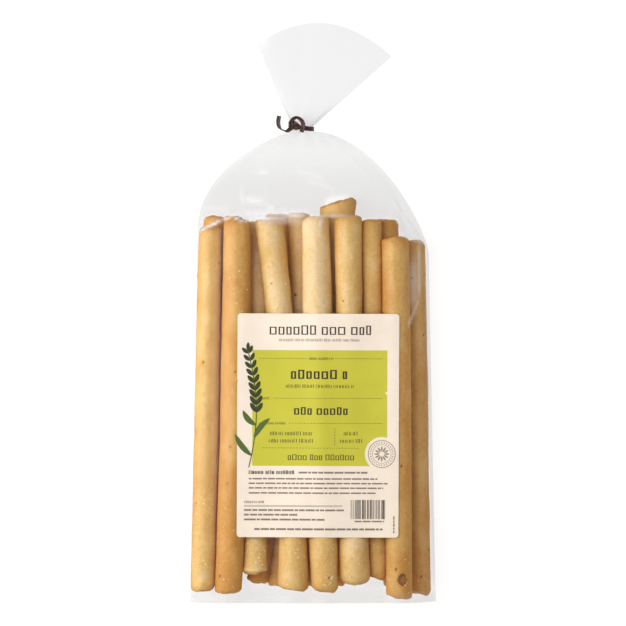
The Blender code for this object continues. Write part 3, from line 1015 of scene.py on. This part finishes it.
def film_material():
    """Clear oriented polypropylene film, cast and glossy: it hides nothing and mirrors the lights on
    its creases. A painted grey dims what lies behind it, most where it lies over the bare floor,
    in place of the reflections that grey real film. Where it is folded or crushed, which the
    attribute "folds" says, its many layers scatter light and look white; along its creases that
    white is a painted highlight."""
    material, tree, output = new_material("clear_polypropylene_film")
    place = add(tree, "TexCoord").outputs["Object"]
    waves = add(  # slack in the film, in waves of about 6 mm
        tree, "TexNoise", {"Vector": place, "Scale": 160.0, "Detail": 2.0, "Roughness": 0.5}
    ).outputs["Fac"]
    crinkle = add(  # fine crinkles about 3 mm apart
        tree, "TexVoronoi", {"Vector": place, "Scale": 330.0}, feature="DISTANCE_TO_EDGE"
    ).outputs["Distance"]
    height = add(
        tree, "Math", {0: crinkle, 1: 0.25, 2: waves}, operation="MULTIPLY_ADD"
    ).outputs[0]
    skin = add(
        tree, "Bump", {"Height": height, "Strength": 0.30, "Distance": 0.4 * MM}
    ).outputs["Normal"]
    mirror = add(
        tree, "BsdfGlossy", {"Color": (1, 1, 1, 1), "Roughness": 0.19, "Normal": skin}
    ).outputs["BSDF"]
    # painted grey, greyest over the bare floor, in place of the film's reflections of a darker room
    painted_grey = add(tree, "Attribute", attribute_name="painted_grey").outputs["Fac"]
    tint = add(
        tree, "MapRange", {"Value": painted_grey, "To Min": 0.97, "To Max": 0.876}
    ).outputs["Result"]
    clear = add(tree, "BsdfTransparent", {"Color": tint}).outputs["BSDF"]
    # white where the film is crushed or gathered, and a painted highlight along its creases
    haze_and_highlight = add(tree, "BsdfDiffuse", {"Color": (0.92, 0.92, 0.92, 1)}).outputs["BSDF"]
    folds = add(tree, "Attribute", attribute_name="folds").outputs["Fac"]
    hazed_and_highlit = add(tree, "MixShader", {0: folds, 1: clear, 2: haze_and_highlight}).outputs["Shader"]
    edge = add(tree, "Fresnel", {"IOR": 1.45, "Normal": skin}).outputs["Fac"]
    edge = add(tree, "Math", {0: edge, 1: 0.32}, operation="MULTIPLY").outputs[0]
    edge = add(tree, "Math", {0: edge, 1: 0.045}, operation="MINIMUM").outputs[0]
    shader = add(tree, "MixShader", {0: edge, 1: hazed_and_highlit, 2: mirror}).outputs["Shader"]
    tree.links.new(shader, output.inputs["Surface"])
    return material


class GRISSINI_OT_film(bpy.types.Operator):
    """Drapes the clear bag over the breadsticks and gathers its neck"""

    bl_idname = "grissini.film"
    bl_label = "Clear bag"

    def execute(self, context):
        made = make_film(context.scene.grissini_film)
        made.data.materials.append(film_material())
        return {"FINISHED"}


# ------------------------------------------------------------------------- label and print

LABEL_MIDDLE = (LABEL_LOW + LABEL_HIGH) / 2
INK_LIFT = 0.05 * MM  # each printed layer over the one below it
LABEL_TURN = math.radians(-0.25)


def label_point(u, v, layer):
    """A point of the label's face from its place in millimetres right of and above the
    label's middle."""
    x = LABEL_MIDDLE.x + (u * math.cos(LABEL_TURN) - v * math.sin(LABEL_TURN)) * MM
    y = LABEL_MIDDLE.y + (u * math.sin(LABEL_TURN) + v * math.cos(LABEL_TURN)) * MM
    return Vector((x, y, label_height(x, y) + layer * INK_LIFT))


def settle_print(bm, layer):
    """Lays flat shapes, drawn in millimetres from the label's middle, onto its face."""
    for vert in bm.verts:
        vert.co = label_point(vert.co.x, vert.co.y, layer)


def add_rectangle(bm, u, v, width, height, step=3.0):
    """A rectangle centred at (u, v), in millimetres, cut finely enough to bend."""
    place = Matrix.Translation((u, v, 0)) @ Matrix.Diagonal((width, height, 1, 1))
    bmesh.ops.create_grid(
        bm, x_segments=max(1, math.ceil(width / step)), y_segments=max(1, math.ceil(height / 6)),
        size=0.5, matrix=place,
    )


def add_words(bm, u_from, u_to, v, height, seed, weight=1.0):
    """A line of blank lettering, which spells nothing: empty frames in groups as long as words
    where it is large, and plain upright strokes where it is small."""
    rng = random.Random(seed)
    upright = 0.15 * height * weight
    level = 0.10 * height * weight
    u = u_from
    while u < u_to - 0.6 * height:
        for _ in range(rng.randint(3, 7)):
            width = rng.uniform(0.50, 0.78) * height
            if u + width > u_to:
                break
            tall = height * rng.choice((1.0, 0.84, 0.84))
            foot = v - height / 2
            add_rectangle(bm, u + upright / 2, foot + tall / 2, upright, tall)
            add_rectangle(bm, u + width - upright / 2, foot + tall / 2, upright, tall)
            if height > 2.6:
                inner = width - 2 * upright
                add_rectangle(bm, u + width / 2, foot + tall - level / 2, inner, level)
                add_rectangle(bm, u + width / 2, foot + level / 2, inner, level)
            u += width + 0.22 * height
        u += 0.42 * height


def add_solid_words(bm, u_from, u_to, v, height, seed):
    """A line of fine print, too small to show its letters: one bar for a word."""
    rng = random.Random(seed)
    u = u_from
    while u < u_to - 0.3:
        width = min(rng.uniform(1.4, 6.5), u_to - u)
        add_rectangle(bm, u + width / 2, v, width, height)
        u += width + 0.55


def add_dashes(bm, u_from, u_to, v, width=0.9, gap=0.75, height=0.22):
    u = u_from
    while u < u_to:
        add_rectangle(bm, u + width / 2, v, width, height)
        u += width + gap


def make_label(settings):
    """The printed paper label, with round corners, stuck over the film."""
    bm = bmesh.new()
    width = (LABEL_HIGH.x - LABEL_LOW.x) / MM
    length = (LABEL_HIGH.y - LABEL_LOW.y) / MM
    bmesh.ops.create_grid(bm, x_segments=1, y_segments=1, size=0.5)
    bmesh.ops.scale(bm, vec=(width, length, 1), verts=bm.verts)
    bmesh.ops.bevel(
        bm, geom=bm.verts, offset=settings.corner / MM, segments=6, profile=0.5,
        affect="VERTICES", material=-1,
    )
    for span, count, normal in ((width, 44, (1, 0, 0)), (length, 60, (0, 1, 0))):
        for step in range(1, count):
            cut = Vector(normal) * span * (step / count - 0.5)
            geometry = bm.verts[:] + bm.edges[:] + bm.faces[:]
            bmesh.ops.bisect_plane(bm, geom=geometry, plane_co=cut, plane_no=normal)
    settle_print(bm, 0)
    bmesh.ops.solidify(bm, geom=bm.faces[:], thickness=settings.thickness)
    bmesh.ops.recalc_face_normals(bm, faces=bm.faces)
    for edge in bm.edges:  # the paper's cut edge stays crisp
        edge.smooth = edge.calc_face_angle(0.0) < 0.7
    return piece_from(bm, "label_sheet", "label_paper", "label")


def ink_object(name, bm, layer):
    settle_print(bm, layer)
    bmesh.ops.recalc_face_normals(bm, faces=bm.faces)
    for face in bm.faces:
        if face.normal.z < 0:
            face.normal_flip()
    return piece_from(bm, name, "label_paper", smooth=False)


def make_panel():
    """The printed lime panel, with a small notch in each side and a round bite for the seal."""
    bm = bmesh.new()
    left, right, top, bottom = -35.6, 37.4, 40.8, -21.9
    add_rectangle(bm, (left + right) / 2, (top + bottom) / 2, right - left, top - bottom, 1.2)
    for count in range(1, 60):
        v = mix(bottom, top, count / 60)
        geometry = bm.verts[:] + bm.edges[:] + bm.faces[:]
        bmesh.ops.bisect_plane(bm, geom=geometry, plane_co=(0, v, 0), plane_no=(0, 1, 0))
    centre, bite = Vector((34.6, -15.3)), 9.2
    for step in range(40):
        turn = 2 * math.pi * step / 40
        normal = Vector((math.cos(turn), math.sin(turn), 0))
        edge = Vector((*centre, 0)) + normal * bite
        near = [f for f in bm.faces if (f.calc_center_median().xy - centre).length < 13]
        parts = {v for f in near for v in f.verts} | {e for f in near for e in f.edges}
        bmesh.ops.bisect_plane(
            bm, geom=list(parts) + near, plane_co=edge, plane_no=normal
        )
    inside = [f for f in bm.faces if (f.calc_center_median().xy - centre).length < bite]
    bmesh.ops.delete(bm, geom=inside, context="FACES")
    for side in (left, right):
        for slope in (1, -1):
            normal = Vector((0.75, slope, 0))
            if side == right:
                normal.x = -0.75
            tip = Vector((side + math.copysign(1.3, -side), 17.7, 0))
            near = [f for f in bm.faces
                    if abs(f.calc_center_median().x - side) < 2.5
                    and abs(f.calc_center_median().y - 17.7) < 3.5]
            parts = {v for f in near for v in f.verts} | {e for f in near for e in f.edges}
            bmesh.ops.bisect_plane(
                bm, geom=list(parts) + near, plane_co=tip, plane_no=normal
            )
        gone = [f for f in bm.faces if in_notch(f.calc_center_median(), side)]
        bmesh.ops.delete(bm, geom=gone, context="FACES")
    return ink_object("label_panel", bm, 1)


def in_notch(point, side):
    """True inside the triangular notch in the panel's side."""
    depth = 1.3 - abs(point.x - side)
    return depth > 0 and abs(point.y - 17.7) < depth * 0.75


def make_dark_print():
    """The dark print: blank lettering, dashed rules, and the stripes of a barcode."""
    bm = bmesh.new()
    add_words(bm, -26.4, 29.2, 51.7, 5.0, 11)
    add_words(bm, -14.8, 18.3, 27.7, 4.9, 12, 1.35)
    add_words(bm, -17.5, 20.5, 21.3, 1.9, 13)
    add_words(bm, -13.0, 16.9, 7.9, 4.1, 14, 1.35)
    add_words(bm, -4.9, 8.0, 36.3, 1.5, 15)
    add_words(bm, -32.1, -25.2, 14.7, 1.4, 16)
    add_words(bm, -32.1, -16.9, 1.2, 1.4, 17)
    add_words(bm, -25.9, -2.2, -4.3, 2.1, 18)
    add_words(bm, -26.6, -1.6, -8.3, 2.1, 19)
    add_words(bm, 14.0, 22.6, -4.3, 2.1, 20)
    add_words(bm, 12.0, 25.3, -8.3, 2.1, 21)
    add_words(bm, -16.3, 20.2, -17.2, 3.0, 22)
    add_words(bm, -37.4, -11.6, -25.4, 2.0, 23, 1.5)
    add_words(bm, -39.7, -27.9, -41.5, 1.3, 24)
    add_dashes(bm, -31.8, -6.0, 36.3)
    add_dashes(bm, 9.2, 34.0, 36.3)
    add_dashes(bm, -24.3, 35.0, 14.7)
    add_dashes(bm, -15.8, 35.2, 1.2)
    add_dashes(bm, -30.0, 22.2, -12.2)
    v = -1.9
    while v > -11.4:
        add_rectangle(bm, 9.1, v, 0.22, 0.9)
        v -= 1.65
    rng = random.Random(31)
    u = 18.0
    while u < 37.2:
        bar = rng.choice((0.28, 0.28, 0.5, 0.75))
        add_rectangle(bm, u + bar / 2, -45.4, bar, 10.4)
        u += bar + rng.choice((0.3, 0.3, 0.55, 0.8))
    return ink_object("label_dark_print", bm, 2)


def make_fine_print():
    """The fine print in grey, and a double rule."""
    bm = bmesh.new()
    add_words(bm, -21.2, 23.8, 46.3, 1.5, 41)
    add_solid_words(bm, -10.4, 27.0, -25.5, 0.95, 42)
    ends = (32.3, 37.8, 35.5, 31.3)
    for row, (v, end) in enumerate(zip((-28.9, -31.4, -33.9, -36.6), ends)):
        add_solid_words(bm, -37.4, end, v, 0.8, 43 + row)
    for row, (v, end) in enumerate(zip((-45.9, -48.4, -51.0), (14.2, -11.0, 3.7))):
        add_solid_words(bm, -39.9, end, v, 0.95, 50 + row)
    add_rectangle(bm, -13.2, -43.4, 53.3, 0.2)
    add_rectangle(bm, -13.2, -43.9, 53.3, 0.2)
    add_solid_words(bm, -34.3, 35.2, -56.2, 1.05, 60)
    add_solid_words(bm, 20.0, 36.0, -51.9, 0.8, 61)
    rng = random.Random(62)
    v = -49.0
    while v > -57.0:
        tall = rng.uniform(0.8, 2.0)
        add_rectangle(bm, 41.3, v - tall / 2, 0.7, tall)
        v -= tall + 0.45
    return ink_object("label_fine_print", bm, 2)


def add_leaf(bm, u, v, length, width, turn, bow=0.0):
    """A pointed oval in millimetres: a circle drawn out to a point at both ends, and bowed."""
    start = len(bm.verts)
    bmesh.ops.create_circle(bm, segments=22, radius=0.5, cap_ends=True, cap_tris=False)
    bm.verts.ensure_lookup_table()
    made = bm.verts[start:]
    for vert in made:
        along = vert.co.x * 2
        vert.co.x = along * length / 2
        vert.co.y = math.copysign((1 - along * along) ** 0.75, vert.co.y) * width / 2
        vert.co.y += bow * (1 - along * along)
    bmesh.ops.transform(
        bm, verts=made,
        matrix=Matrix.Translation((u, v, 0)) @ Matrix.Rotation(math.radians(turn), 4, "Z"),
    )


def ear_line(share):
    """The curved stem of the printed ear of wheat, in millimetres from the label's middle."""
    v = mix(-22.5, 40.5, share)
    return Vector((-39.6 + 6.2 * math.sin(math.pi * (0.12 + 0.80 * share)), v))


def make_sprig():
    """A plain printed ear of wheat in the label's left margin: stem, two blades and grains."""
    stem = bmesh.new()
    for step in range(40):
        low, high = ear_line(step / 40), ear_line((step + 1) / 40)
        middle, along = (low + high) / 2, high - low
        turn = math.degrees(math.atan2(along.y, along.x))
        add_leaf(stem, middle.x, middle.y, along.length * 1.9, 0.62, turn)
    for share, turn, length in ((0.10, 128, 15.0), (0.25, 52, 14.0), (0.36, 132, 11.0)):
        foot = ear_line(share)
        reach = Vector((math.cos(math.radians(turn)), math.sin(math.radians(turn))))
        middle = foot + reach * length * 0.46
        add_leaf(stem, middle.x, middle.y, length, 3.1, turn, 1.1)
    blades = ink_object("label_sprig_blades", stem, 2)
    grains = bmesh.new()
    for pair in range(9):
        share = 0.47 + pair * 0.062
        foot = ear_line(share)
        lean = ear_line(share + 0.02) - foot
        upward = math.degrees(math.atan2(lean.y, lean.x))
        for side in (1, -1):
            turn = upward + side * 33
            reach = Vector((math.cos(math.radians(turn)), math.sin(math.radians(turn))))
            middle = foot + reach * 3.0
            add_leaf(grains, middle.x, middle.y, 6.2 - pair * 0.22, 2.5 - pair * 0.06, turn)
    tip = ear_line(1.0)
    add_leaf(grains, tip.x, tip.y + 2.0, 5.0, 1.9, 90)
    return blades, ink_object("label_sprig_grains", grains, 3)


def make_seal():
    """A plain round seal: two rings and a ring of petals, of no maker."""
    bm = bmesh.new()
    centre = Vector((34.6, -15.3))
    for outer, inner in ((7.5, 7.15), (5.15, 4.95)):
        place = Matrix.Translation((*centre, 0))
        verts = bmesh.ops.create_circle(bm, segments=64, radius=outer, matrix=place)["verts"]
        ring = [edge for edge in bm.edges if edge.verts[0] in verts]
        made = bmesh.ops.extrude_edge_only(bm, edges=ring)["geom"]
        inward = [part for part in made if isinstance(part, bmesh.types.BMVert)]
        bmesh.ops.scale(
            bm, vec=(inner / outer, inner / outer, 1), space=place.inverted(), verts=inward
        )
    for petal in range(12):
        turn = petal * 30
        reach = Vector((math.cos(math.radians(turn)), math.sin(math.radians(turn))))
        at = centre + reach * 2.7
        add_leaf(bm, at.x, at.y, 2.9, 0.9, turn)
    for dot in range(28):
        turn = dot * 2 * math.pi / 28
        at = centre + Vector((math.cos(turn), math.sin(turn))) * 6.1
        add_leaf(bm, at.x, at.y, 0.75, 0.6, math.degrees(turn))
    return ink_object("label_seal", bm, 2)


def paper_material(name, colour, roughness=0.58, gloss=0.25):
    """Coated label paper, printed and calendered: a smooth face with a faint tooth."""
    material, tree, output = new_material(name)
    place = add(tree, "TexCoord").outputs["Object"]
    tooth = add(  # paper fibres, drawn at about 0.5 mm so that they show
        tree, "TexNoise", {"Vector": place, "Scale": 2200.0, "Detail": 3.0, "Roughness": 0.6}
    ).outputs["Fac"]
    cloud = add(  # uneven formation, about 12 mm
        tree, "TexNoise", {"Vector": place, "Scale": 85.0, "Detail": 2.0, "Roughness": 0.5}
    ).outputs["Fac"]
    shade = add(
        tree, "MapRange", {"Value": cloud, "From Min": 0.3, "From Max": 0.7,
                           "To Min": 0.97, "To Max": 1.03},
    ).outputs["Result"]
    speck = add(
        tree, "MapRange", {"Value": tooth, "From Min": 0.3, "From Max": 0.7,
                           "To Min": 0.975, "To Max": 1.02},
    ).outputs["Result"]
    shade = add(tree, "Math", {0: shade, 1: speck}, operation="MULTIPLY").outputs[0]
    tinted = add(
        tree, "Mix", {0: 1.0, 6: (*colour, 1), 7: shade}, data_type="RGBA",
        blend_type="MULTIPLY",
    ).outputs[2]
    skin = add(
        tree, "Bump", {"Height": tooth, "Strength": 0.15, "Distance": 0.05 * MM}
    ).outputs["Normal"]
    shader = add(
        tree, "BsdfPrincipled",
        {"Base Color": tinted, "Roughness": roughness, "Specular IOR Level": gloss,
         "Normal": skin},
    )
    tree.links.new(shader.outputs["BSDF"], output.inputs["Surface"])
    return material


class GRISSINI_OT_label(bpy.types.Operator):
    """Sticks the paper label over the front of the bag"""

    bl_idname = "grissini.label"
    bl_label = "Label"

    def execute(self, context):
        settings = context.scene.grissini_label
        made = make_label(settings)
        made.data.materials.append(paper_material("coated_label_paper", settings.paper))
        return {"FINISHED"}


class GRISSINI_OT_print(bpy.types.Operator):
    """Prints the panel, the rules, the blank lettering and the sprig on the label"""

    bl_idname = "grissini.print"
    bl_label = "Print"

    def execute(self, context):
        settings = context.scene.grissini_label
        blades, grains = make_sprig()
        printed = (
            (make_panel(), "lime_printing_ink", settings.panel),
            (make_dark_print(), "dark_printing_ink", settings.ink),
            (make_fine_print(), "grey_printing_ink", linear("#8b8073")),
            (blades, "leaf_green_printing_ink", linear("#586b33")),
            (grains, "deep_green_printing_ink", linear("#3c4426")),
            (make_seal(), "warm_grey_printing_ink", linear("#95897a")),
        )
        for made, name, colour in printed:
            made.data.materials.append(paper_material(name, colour))
        return {"FINISHED"}


# --------------------------------------------------------------------------------- twist tie


class TieStation(NamedTuple):
    """A station of the tie's path, in millimetres from the neck's middle, and the direction
    in which the strip is wide there."""

    x: float
    y: float
    z: float
    wide_x: float
    wide_y: float
    wide_z: float


TIE_PATH = (
    TieStation(-12.2, 6.0, 6.4, 0.85, -0.50, 0.10),  # the left end, curled up
    TieStation(-12.7, 3.2, 6.0, 1.00, 0.00, 0.15),
    TieStation(-12.4, 0.6, 5.6, 0.75, 0.30, 0.60),
    TieStation(-11.2, -1.1, 5.3, 0.15, 0.20, 1.00),
    TieStation(-9.4, -2.0, 5.2, 0.00, 0.15, 1.00),
    TieStation(-7.9, -2.1, 5.2, -0.10, 0.60, 0.70),
    TieStation(-6.3, -1.1, 5.1, -0.50, 0.85, 0.20),
    TieStation(-4.4, 0.3, 5.0, -0.50, 0.85, 0.10),
    TieStation(-2.2, 0.2, 4.6, 0.00, 1.00, 0.00),  # across the front of the neck
    TieStation(0.8, -0.6, 4.1, 0.05, 1.00, 0.00),
    TieStation(4.4, -0.9, 3.2, 0.05, 1.00, 0.00),
    TieStation(6.7, -0.9, 0.3, 0.00, 1.00, 0.00),
    TieStation(4.6, -0.4, -2.9, 0.00, 1.00, 0.00),  # and round its back
    TieStation(0.0, 0.2, -3.8, 0.00, 1.00, 0.00),
    TieStation(-4.8, 0.7, -2.9, 0.00, 1.00, 0.00),
    TieStation(-7.0, 1.4, 0.3, 0.00, 1.00, 0.00),
    TieStation(-6.6, 2.2, 3.9, 0.10, 1.00, 0.20),
    TieStation(-5.3, 2.5, 6.1, 0.50, 0.80, 0.00),  # twice over the knot
    TieStation(-3.3, 1.7, 7.0, 0.60, 0.80, 0.00),
    TieStation(-1.8, 0.2, 6.2, 0.80, 0.50, 0.30),
    TieStation(-2.9, -0.6, 5.6, 0.30, 0.80, 0.50),
    TieStation(-5.0, 0.4, 6.0, -0.50, 0.80, 0.20),
    TieStation(-5.7, 2.2, 7.0, -0.85, 0.35, 0.30),
    TieStation(-4.7, 4.1, 7.7, -0.60, 0.60, 0.50),  # the right end, arched over the knot
    TieStation(-2.9, 5.1, 7.9, 0.00, 0.50, 0.85),
    TieStation(-0.9, 4.3, 7.8, 0.50, 0.50, 0.70),
    TieStation(0.5, 2.5, 7.4, 0.90, 0.35, 0.20),
    TieStation(0.9, 0.0, 7.0, 1.00, 0.00, 0.10),
    TieStation(-0.2, -2.8, 6.6, 1.00, 0.10, 0.00),
)


def smooth_path(stations, steps):
    """Points of a Catmull-Rom curve through the stations, each with all their values."""
    path = [Vector(station) for station in stations]
    ends = [2 * path[0] - path[1], *path, 2 * path[-1] - path[-2]]
    points = []
    for before, start, end, after in zip(ends, ends[1:], ends[2:], ends[3:]):
        for step in range(steps):
            t = step / steps
            points.append(
                0.5
                * (
                    2 * start
                    + (end - before) * t
                    + (2 * before - 5 * start + 4 * end - after) * t**2
                    + (3 * start - before - 3 * end + after) * t**3
                )
            )
    return [*points, path[-1]]


def make_tie(settings):
    """The twist tie: a paper strip with a wire down its middle, wound round the neck, with one
    end curled out to the left and the other arched over the knot."""
    bm = bmesh.new()
    curve = smooth_path(TIE_PATH, 9)
    columns = 12
    bmesh.ops.create_grid(bm, x_segments=columns, y_segments=len(curve) - 1, size=1.0)
    bm.verts.ensure_lookup_table()
    for vert in bm.verts:
        row, column = divmod(vert.index, columns + 1)
        point = Vector(curve[row][:3])
        before = Vector(curve[max(row - 1, 0)][:3])
        after = Vector(curve[min(row + 1, len(curve) - 1)][:3])
        direction = (after - before).normalized()
        wide = Vector(curve[row][3:])
        wide = (wide - direction * wide.dot(direction)).normalized()
        thin = wide.cross(direction)
        share = 2 * column / columns - 1
        wire = 0.26 * math.exp(-((share / 0.22) ** 2))
        crimp = 0.05 * math.sin(row * 2.1) * abs(share)
        half = settings.width / MM / 2 * (1 + 0.05 * noise.noise(Vector((row * 0.35, 2, 5))))
        vert.co = NECK + (point + wide * share * half + thin * (wire + crimp)) * MM
    bmesh.ops.recalc_face_normals(bm, faces=bm.faces)
    made = piece_from(bm, "twist_tie", "tie_paper", "tie")
    wall = made.modifiers.new("paper", "SOLIDIFY")
    wall.thickness = 0.32 * MM
    wall.offset = 0.0
    return made


def tie_material(settings):
    """Waxed kraft paper laminated over a wire: dark red-brown, darker and paler in fibres and patches."""
    material, tree, output = new_material("waxed_kraft_tie_paper")
    place = add(tree, "TexCoord").outputs["Object"]
    fibre = add(  # fibres along the strip, about 0.4 mm
        tree, "TexNoise", {"Vector": place, "Scale": 2400.0, "Detail": 3.0, "Roughness": 0.6}
    ).outputs["Fac"]
    patch = add(
        tree, "TexNoise", {"Vector": place, "Scale": 420.0, "Detail": 2.0}
    ).outputs["Fac"]
    tone = add(tree, "Math", {0: fibre, 1: patch}, operation="MULTIPLY").outputs[0]
    colour = add(
        tree, "ValToRGB", {"Fac": tone},
        stops=((0.12, linear("#1d0d0a")), (0.27, settings.paper), (0.44, linear("#6f3527"))),
    ).outputs["Color"]
    skin = add(
        tree, "Bump", {"Height": fibre, "Strength": 0.4, "Distance": 0.08 * MM}
    ).outputs["Normal"]
    shader = add(
        tree, "BsdfPrincipled",
        {"Base Color": colour, "Roughness": 0.45, "Specular IOR Level": 0.5, "Normal": skin},
    )
    tree.links.new(shader.outputs["BSDF"], output.inputs["Surface"])
    return material


class GRISSINI_OT_tie(bpy.types.Operator):
    """Winds the twist tie round the bag's neck"""

    bl_idname = "grissini.tie"
    bl_label = "Twist tie"

    def execute(self, context):
        settings = context.scene.grissini_tie
        made = make_tie(settings)
        made.data.materials.append(tie_material(settings))
        return {"FINISHED"}


# ------------------------------------------------------------------------------------- stage


def add_light(name, place, aim, size, power, colour=(1, 1, 1), size_y=None):
    light = bpy.data.lights.new(name, "AREA")
    light.shape = "RECTANGLE"
    light.size = size
    light.size_y = size_y or size
    light.energy = power
    light.color = colour
    lamp = bpy.data.objects.new(name, light)
    lamp.location = place
    lamp.rotation_euler = (Vector(aim) - Vector(place)).to_track_quat("-Z", "Y").to_euler()
    bpy.context.scene.collection.objects.link(lamp)


class GRISSINI_OT_stage(bpy.types.Operator):
    """Sets the pale floor, the soft lights and the camera that looks straight down"""

    bl_idname = "grissini.stage"
    bl_label = "Stage"

    def execute(self, context):
        scene = context.scene
        bm = bmesh.new()
        bmesh.ops.create_grid(bm, x_segments=1, y_segments=1, size=2.5)
        mesh = bpy.data.meshes.new("floor")
        bm.to_mesh(mesh)
        bm.free()
        floor = bpy.data.objects.new("floor", mesh)
        scene.collection.objects.link(floor)
        material, tree, output = new_material("lit_white_acrylic")  # glows evenly, so no shadow
        matt = add(
            tree, "BsdfDiffuse", {"Color": (0.22, 0.22, 0.22, 1), "Roughness": 0.0}
        ).outputs["BSDF"]
        glow = add(
            tree, "Emission", {"Color": (1, 1, 1, 1), "Strength": 0.86}
        ).outputs["Emission"]
        shader = add(tree, "AddShader", {0: matt, 1: glow}).outputs["Shader"]
        tree.links.new(shader, output.inputs["Surface"])
        floor.data.materials.append(material)

        world = bpy.data.worlds.new("soft_white")
        world.use_nodes = True
        world.node_tree.nodes["Background"].inputs["Color"].default_value = (1, 1, 1, 1)
        world.node_tree.nodes["Background"].inputs["Strength"].default_value = 0.45
        scene.world = world
        add_light("key", (-0.40, 0.02, 0.39), (0, 0, 0.02), 0.30, 3.4, size_y=0.8)
        add_light("right_strip", (0.62, 0.05, 0.44), (0, 0, 0), 0.10, 0.2, size_y=0.8)
        add_light("left_strip", (-0.95, -0.2, 0.35), (0, 0, 0), 0.10, 0.5, size_y=0.9)

        camera = bpy.data.cameras.new("camera")
        camera.lens = 240
        camera.sensor_width = 36
        frame_width = 341.2 * MM  # that the picture spans at the height of the bag's middle
        distance = frame_width * camera.lens / camera.sensor_width
        eye = bpy.data.objects.new("camera", camera)
        eye.location = (0, -0.25 * MM, distance + 15 * MM)
        scene.collection.objects.link(eye)
        scene.camera = eye
        scene.view_settings.view_transform = "Standard"
        scene.cycles.transparent_max_bounces = 24
        return {"FINISHED"}


class GRISSINI_PT_panel(bpy.types.Panel):
    """Lists the pieces of the bag of grissini"""

    bl_label = "Bag of Grissini"
    bl_idname = "GRISSINI_PT_panel"
    bl_space_type = "VIEW_3D"
    bl_region_type = "UI"
    bl_category = "Grissini"

    def draw(self, context):
        for operator in OPERATORS:
            self.layout.operator(operator.bl_idname)


GROUPS = {
    "grissini_breadsticks": BreadstickSettings,
    "grissini_film": FilmSettings,
    "grissini_label": LabelSettings,
    "grissini_tie": TieSettings,
}
OPERATORS = (
    GRISSINI_OT_breadsticks, GRISSINI_OT_film, GRISSINI_OT_label, GRISSINI_OT_print,
    GRISSINI_OT_tie, GRISSINI_OT_stage,
)


def register():
    for kind in (*GROUPS.values(), *OPERATORS, GRISSINI_PT_panel):
        bpy.utils.register_class(kind)
    for name, group in GROUPS.items():
        setattr(bpy.types.Scene, name, PointerProperty(type=group))


def unregister():
    for name in GROUPS:
        delattr(bpy.types.Scene, name)
    for kind in (GRISSINI_PT_panel, *OPERATORS, *GROUPS.values()):
        bpy.utils.unregister_class(kind)


def main():
    register()
    bpy.ops.grissini.breadsticks()
    bpy.ops.grissini.film()
    bpy.ops.grissini.label()
    bpy.ops.grissini.print()
    bpy.ops.grissini.tie()
    bpy.ops.grissini.stage()


if __name__ == "__main__":
    main()
